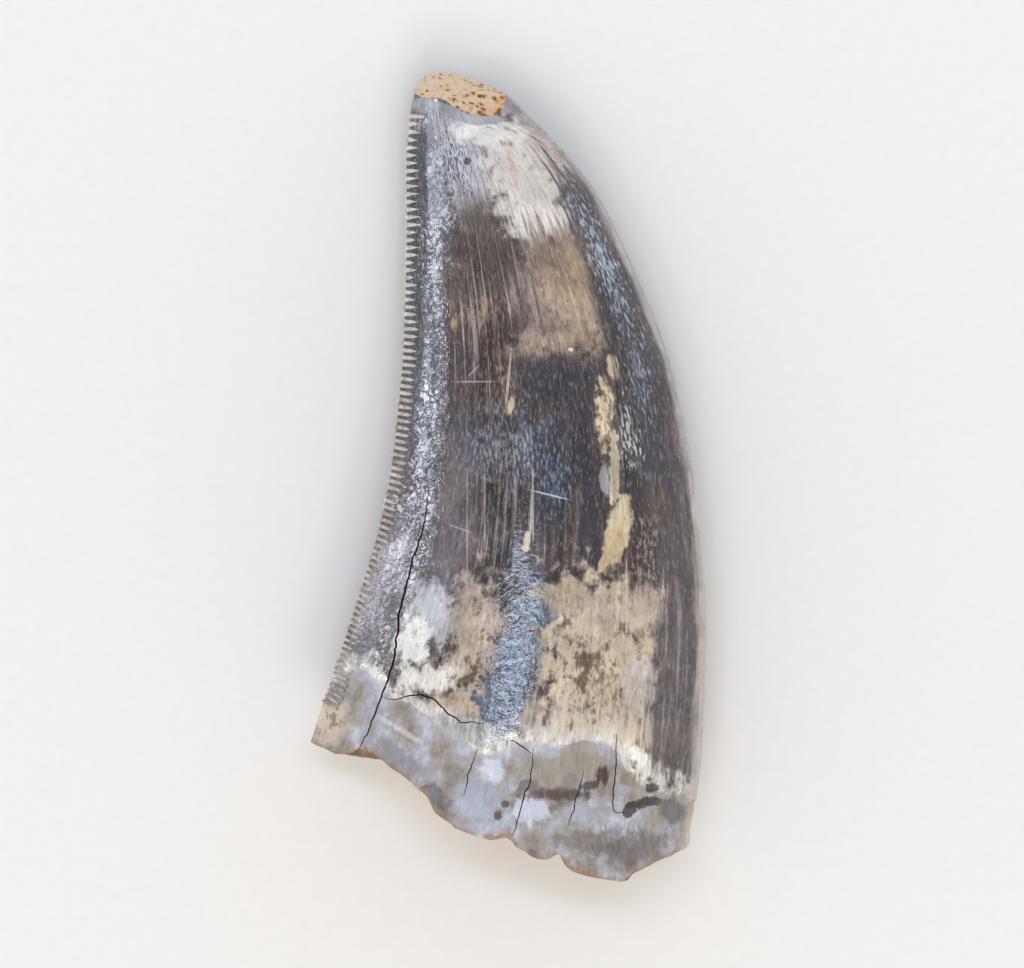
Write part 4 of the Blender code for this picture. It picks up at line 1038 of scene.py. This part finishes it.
def worn_enamel():
    """Enamel of the serrations: pale and clouded, browner low on the tooth and greyer above.

    Wear leaves it a soft gloss, so the eye sees a bright dotted edge. Its clouds are half a millimetre wide.
    """
    material, tree = new_material("worn serration enamel")
    place = millimetres(tree)
    noise = add(tree, "ShaderNodeTexNoise", {"Vector": place, "Scale": 1.8, "Detail": 4.0, "Roughness": 0.6})
    y = add(tree, "ShaderNodeSeparateXYZ", [place]).outputs[1]
    up = add(tree, "ShaderNodeMapRange", [y, *GREY_ABOVE, 0, 1])
    low = draw_ramp(add(tree, "ShaderNodeValToRGB", [noise]), [
        (0.3, "#6E6259"), (0.45, "#A89F95"), (0.6, "#C6BDB2"), (0.75, "#D8D1C8")]).outputs["Color"]
    high = draw_ramp(add(tree, "ShaderNodeValToRGB", [noise]), [
        (0.3, "#8F8F94"), (0.45, "#BDBBBA"), (0.6, "#D2CFCC"), (0.75, "#E2DFDB")]).outputs["Color"]
    colour = add(tree, "ShaderNodeMix", [up, low, high], data_type="RGBA")
    surface(tree, colour, noise, depth=0.06, roughness=0.3, ior=ENAMEL_IOR, strength=0.5)
    return material


serrations = serration_tree()
serration_enamel = worn_enamel()
edges = {"Rear edge": rear_line, "Front edge": front_line, "Enamel": serration_enamel}
rear_serrations = grown("rear_serrations", serrations, {**edges, **REAR_SERRATIONS, "Seed": 4})
front_serrations = grown("front_serrations", serrations, {**edges, **FRONT_SERRATIONS, "Seed": 7})

# The lost flake. A chip of enamel and dentine broke off the front side of the tip and left a scar. A block
# with a rough lower face takes it off here.

FLAKE_POINT = (-0.45, 27.5, 3.6)
FLAKE_NORMAL = (0.69, 0.71, 0.14)
FLAKE_BLOCK = 9.0
FLAKE_STEPS = 60
SCAR_RELIEF = 0.1


def flake_tree():
    """A block whose lower face is the scar of the flake, with ripples about 1 mm wide."""
    tree, given = new_tree("lost flake", [
        ("Size", "Float"), ("Point", "Vector"), ("Facing", "Vector"), ("Roughness", "Float"),
        ("Scar", "Material")], [("Mesh", "Geometry")])
    size = add(tree, "ShaderNodeCombineXYZ", [given["Size"], given["Size"], given["Size"]])
    block = add(tree, "GeometryNodeMeshCube", [size, FLAKE_STEPS, FLAKE_STEPS, 2]).outputs["Mesh"]
    place = add(tree, "GeometryNodeInputPosition")
    half = add(tree, "ShaderNodeMath", [given["Size"], 0.5], operation="MULTIPLY")
    ripple = add(tree, "ShaderNodeVectorMath", [place, (1.1, 0.4, 0)], operation="MULTIPLY")
    ripple = add(tree, "ShaderNodeTexNoise", {"Vector": ripple, "Scale": 1.0, "Detail": 4.0})
    ripple = add(tree, "ShaderNodeMapRange", [ripple, 0, 1, -1, 1])
    ripple = add(tree, "ShaderNodeMath", [ripple, given["Roughness"]], operation="MULTIPLY")
    z = add(tree, "ShaderNodeSeparateXYZ", [place]).outputs[2]
    low = add(tree, "ShaderNodeMath", [z, 0], operation="LESS_THAN")
    ripple = add(tree, "ShaderNodeMath", [ripple, low], operation="MULTIPLY")
    lift = add(tree, "ShaderNodeMath", [half, ripple], operation="ADD")
    block = add(tree, "GeometryNodeSetPosition", {
        "Geometry": block, "Offset": add(tree, "ShaderNodeCombineXYZ", [0, 0, lift])})
    facing = add(tree, "FunctionNodeAlignRotationToVector", {"Vector": given["Facing"]}, axis="Z",
                 pivot_axis="AUTO")
    block = add(tree, "GeometryNodeTransform", {
        "Geometry": block, "Translation": given["Point"], "Rotation": facing})
    block = add(tree, "GeometryNodeRealizeInstances", [block])
    block = add(tree, "GeometryNodeSetMaterial", {"Geometry": block, "Material": given["Scar"]})
    add(tree, "NodeGroupOutput", [block])
    return tree


def scar_dentine():
    """The scar: mauve-grey dentine with pale streaks down the side of the tip, where its layers show.

    It broke clean, so it has a silky gloss. The streaks are 0.3 by 2 mm. Real layers are finer, and are drawn
    as coarse as they need to show.
    """
    material, tree = new_material("layered scar dentine")
    place = millimetres(tree)
    along = add(tree, "ShaderNodeMapping", [place, (0, 0, 0), (0, 0, math.radians(-40)), (3.2, 0.45, 1)])
    streaks = add(tree, "ShaderNodeTexNoise", {
        "Vector": along, "Scale": 1.0, "Detail": 5.0, "Roughness": 0.62})
    colour = draw_ramp(add(tree, "ShaderNodeValToRGB", [streaks]), [
        (0.32, "#5F545C"), (0.43, "#8B8085"), (0.54, "#A59C9C"), (0.66, "#C9C2BC")]).outputs["Color"]
    surface(tree, colour, streaks, depth=0.06, roughness=0.35, ior=DENTINE_IOR, strength=0.6)
    return material


flake = grown("lost_flake", flake_tree(), {
    "Size": FLAKE_BLOCK, "Point": FLAKE_POINT, "Facing": FLAKE_NORMAL, "Roughness": SCAR_RELIEF,
    "Scar": scar_dentine()})

# Cracks. The root split as it dried, and the splits run up into the enamel. Each is a groove with a sharp
# bottom, packed with dust that iron has stained.

CRACKS = {
    "long_crack": {"width": 0.17, "depth": 0.45, "seed": 1, "path": [
        (-7.7, 2.6), (-7.75, 1.3), (-8.0, -0.5), (-8.6, -2.35), (-9.25, -4.7), (-9.65, -6.3), (-9.9, -8.8),
        (-10.4, -10.6), (-10.8, -12.1), (-11.3, -13.1), (-11.8, -14.5), (-12.5, -15.7)]},
    "side_crack": {"width": 0.11, "depth": 0.3, "seed": 2, "path": [
        (-10.8, -12.1), (-10.3, -12.25), (-9.6, -12.15), (-8.3, -11.95), (-7.4, -12.2), (-6.9, -12.6),
        (-5.6, -13.7), (-4.8, -13.75), (-4.0, -13.8)]},
    "enamel_crack": {"width": 0.09, "depth": 0.25, "seed": 3, "path": [
        (-2.2, -14.8), (-1.4, -15.3), (-0.6, -15.9)]},
    "base_crack_left": {"width": 0.08, "depth": 0.2, "seed": 4, "path": [
        (-4.3, -15.5), (-4.7, -16.8), (-5.3, -18.8)]},
    "base_crack_middle": {"width": 0.09, "depth": 0.25, "seed": 5, "path": [
        (-0.45, -15.5), (-0.7, -17.9), (-1.1, -18.9), (-1.9, -21.6)]},
    "base_crack_right": {"width": 0.08, "depth": 0.2, "seed": 6, "path": [
        (3.0, -17.0), (2.3, -19.6), (1.8, -20.9)]},
    "front_crack": {"width": 0.09, "depth": 0.25, "seed": 7, "path": [
        (5.2, -14.6), (5.2, -16.5), (5.0, -18.6), (5.0, -19.8), (5.75, -19.95)]},
}
CRACK_TAPER = [(0, 0.25), (0.15, 0.7), (0.5, 1.0), (0.85, 0.8), (1, 0.35)]
CRACK_STEP = 0.22
CRACK_WANDER = 0.5
BLADE_ABOVE = 0.5
OVERHEAD = 40
RAY_LENGTH = 60.0


def crack_tree():
    """A blade that follows a path over the skin, and thins towards its two ends."""
    tree, given = new_tree("crack", [
        ("Path", "Object"), ("Crown", "Object"), ("Width", "Float"), ("Depth", "Float"), ("Seed", "Float"),
        ("Dirt", "Material")], [("Mesh", "Geometry")])
    path = add(tree, "GeometryNodeObjectInfo", [given["Path"]]).outputs["Geometry"]
    path = add(tree, "GeometryNodeCurveSplineType", [path], spline_type="CATMULL_ROM")
    path = add(tree, "GeometryNodeResampleCurve", {"Curve": path, "Length": CRACK_STEP}, mode="LENGTH")
    place = add(tree, "GeometryNodeInputPosition")
    wander = add(tree, "ShaderNodeTexNoise", {
        "Vector": place, "W": given["Seed"], "Scale": 1.6, "Detail": 3.0},
        noise_dimensions="4D").outputs["Color"]
    wander = add(tree, "ShaderNodeVectorMath", [wander, (0.5, 0.5, 0.5)], operation="SUBTRACT")
    wander = add(tree, "ShaderNodeVectorMath", [wander, (CRACK_WANDER, CRACK_WANDER, 0)],
                 operation="MULTIPLY")
    path = add(tree, "GeometryNodeSetPosition", {"Geometry": path, "Offset": wander})
    crown = add(tree, "GeometryNodeObjectInfo", [given["Crown"]]).outputs["Geometry"]
    over = add(tree, "ShaderNodeVectorMath", [place, (0, 0, OVERHEAD)])
    found = add(tree, "GeometryNodeRaycast", {
        "Target Geometry": crown, "Source Position": over, "Ray Direction": (0, 0, -1),
        "Ray Length": RAY_LENGTH})
    path = add(tree, "GeometryNodeSetPosition", {
        "Geometry": path, "Position": found.outputs["Hit Position"]})
    path = add(tree, "GeometryNodeSetCurveNormal", [path], mode="Z_UP")
    share = add(tree, "GeometryNodeSplineParameter").outputs["Factor"]
    thin = draw_curve(add(tree, "ShaderNodeFloatCurve", [1, share]), CRACK_TAPER)
    blade = add(tree, "GeometryNodeCurvePrimitiveQuadrilateral", mode="KITE")
    for label, value in (("Width", given["Width"]), ("Bottom Height", given["Depth"])):
        tree.links.new(value, blade.inputs[label])
    blade.inputs["Top Height"].default_value = BLADE_ABOVE
    mesh = add(tree, "GeometryNodeCurveToMesh", {
        "Curve": path, "Profile Curve": blade, "Scale": thin, "Fill Caps": True})
    mesh = add(tree, "GeometryNodeRealizeInstances", [mesh])
    mesh = add(tree, "GeometryNodeSetMaterial", {"Geometry": mesh, "Material": given["Dirt"]})
    add(tree, "NodeGroupOutput", [mesh])
    return tree


def packed_dust():
    """Iron-stained dust packed in the cracks: dark brown, reddish in places, and quite dull."""
    material, tree = new_material("iron-stained dust")
    noise = add(tree, "ShaderNodeTexNoise", {"Vector": millimetres(tree), "Scale": 1.6, "Detail": 4.0})
    colour = draw_ramp(add(tree, "ShaderNodeValToRGB", [noise]), [
        (0.35, "#4A3830"), (0.5, "#6A4A3A"), (0.65, "#8E6450")])
    shader = add(tree, "ShaderNodeBsdfPrincipled", {"Base Color": colour, "Roughness": 0.9, "IOR": 1.5})
    add(tree, "ShaderNodeOutputMaterial", [shader])
    return material


crack_blade = crack_tree()
crack_dirt = packed_dust()
cracks = []
for name, crack in CRACKS.items():
    path = guide_line(name + "_path", crack["path"])
    cracks.append(grown(name, crack_blade, {
        "Path": path, "Crown": tooth, "Width": crack["width"], "Depth": crack["depth"],
        "Seed": float(crack["seed"]), "Dirt": crack_dirt}))
    bpy.data.objects.remove(path)

# The finished fossil. It is one solid piece, and here one closed skin: the flake and the cracks are cut away,
# and the serrations are joined on.

SHARP_TURN = 40

for tool, operation in [(flake, "DIFFERENCE"), *((crack, "DIFFERENCE") for crack in cracks),
                        (rear_serrations, "UNION"), (front_serrations, "UNION")]:
    step = tooth.modifiers.new(tool.name, "BOOLEAN")
    step.operation = operation
    step.solver = "MANIFOLD"
    step.material_mode = "TRANSFER"
    step.object = tool
reader = bpy.context.evaluated_depsgraph_get()
fossil = bpy.data.meshes.new_from_object(tooth.evaluated_get(reader), depsgraph=reader)
tooth.modifiers.clear()
tooth.data = fossil
while None in list(fossil.materials):
    fossil.materials.pop(index=list(fossil.materials).index(None))
fossil.transform(Matrix.Scale(MM, 4))
fossil.set_sharp_from_angle(angle=math.radians(SHARP_TURN))
for item in (rear_line, front_line, flake, rear_serrations, front_serrations, *cracks):
    bpy.data.objects.remove(item)
tooth.hide_render = False
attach(tooth, "root")
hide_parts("tooth")

# Floor, light and camera. The floor is a sheet of pale card, so wide that its edges stay out of view. Three
# soft panels in a pale room light it, and the camera looks straight down on the tooth.

FLOOR_HALF = 3
WALL_GLOW = 1.05
CEILING_GLOW = 0.6


def pale_card():
    """Card of bleached wood pulp, pressed flat: matt, nearly white, its fibres drawn coarse, at 1 mm."""
    material, tree = new_material("bleached card")
    fibres = add(tree, "ShaderNodeTexNoise", {"Vector": millimetres(tree), "Scale": 1.2, "Detail": 3.0})
    shade = add(tree, "ShaderNodeMapRange", [fibres, 0.3, 0.7, 0, 1])
    colour = add(tree, "ShaderNodeMix", [shade, linear("#F0F0EE"), linear("#F2F2F0")], data_type="RGBA")
    surface(tree, colour, fibres, depth=0.02, roughness=0.85, ior=1.5, strength=0.2)
    return material


floor_mesh = bpy.data.meshes.new("floor")
corners = [(x * FLOOR_HALF, y * FLOOR_HALF, 0) for x, y in ((-1, -1), (1, -1), (1, 1), (-1, 1))]
floor_mesh.from_pydata(corners, [], [(0, 1, 2, 3)])
floor = bpy.data.objects.new("floor", floor_mesh)
floor_mesh.materials.append(pale_card())
bpy.context.scene.collection.objects.link(floor)

# The room is brightest low down, where its pale walls are, and dim overhead
world = bpy.data.worlds.new("studio")
bpy.context.scene.world = world
world.use_nodes = True
world.node_tree.nodes.clear()
direction = add(world.node_tree, "ShaderNodeTexCoord").outputs["Generated"]
rise = add(world.node_tree, "ShaderNodeSeparateXYZ", [direction]).outputs[2]
glow = add(world.node_tree, "ShaderNodeMapRange", [rise, 0.1, 0.8, WALL_GLOW, CEILING_GLOW],
           interpolation_type="SMOOTHSTEP")
sky = add(world.node_tree, "ShaderNodeBackground", [linear("#F7F5F3"), glow])
add(world.node_tree, "ShaderNodeOutputWorld", [sky])

# Panels as (x, y, z) in metres, turns in degrees, width and height in metres, radiance and colour
PANELS = {
    "key": ((0.1, -1.5, 1.7), (41, 0, 0), (1.4, 0.9), 4.2, "#FFF1E2"),
    "low_left": ((-1.2, 0.23, 0.04), (0, -90, 0), (0.08, 0.28), 20.0, "#E6EEFF"),
    "overhead": ((-0.03, 0.19, 1.05), (0, 0, -14), (0.5, 0.15), 11.0, "#DCE8FF"),
}
for name, (place, turn, size, radiance, colour) in PANELS.items():
    data = bpy.data.lights.new(name, "AREA")
    data.shape = "RECTANGLE"
    data.size, data.size_y = size
    data.energy = radiance * math.pi * size[0] * size[1]
    data.color = linear(colour)[:3]
    panel = bpy.data.objects.new(name, data)
    panel.location = place
    panel.rotation_euler = [math.radians(angle) for angle in turn]
    bpy.context.scene.collection.objects.link(panel)

# The photo's frame: its size and the part's origin in pixels, and its scale. The camera's distance, in mm, is
# from the level of the cutting edges, which lies this far above the floor.
IMAGE = (1024, 968)
ORIGIN = (540, 520)
PIXELS_PER_MM = 14.5
DISTANCE = 800
EDGE_LEVEL = 6
SENSOR = 36
camera_data = bpy.data.cameras.new("camera")
camera_data.sensor_width = SENSOR
camera_data.lens = SENSOR * DISTANCE / (IMAGE[0] / PIXELS_PER_MM)
camera = bpy.data.objects.new("camera", camera_data)
camera.location = (
    (IMAGE[0] / 2 - ORIGIN[0]) / PIXELS_PER_MM * MM, (ORIGIN[1] - IMAGE[1] / 2) / PIXELS_PER_MM * MM,
    (DISTANCE + EDGE_LEVEL) * MM)
bpy.context.scene.collection.objects.link(camera)
bpy.context.scene.camera = camera
bpy.context.scene.view_settings.view_transform = "Standard"
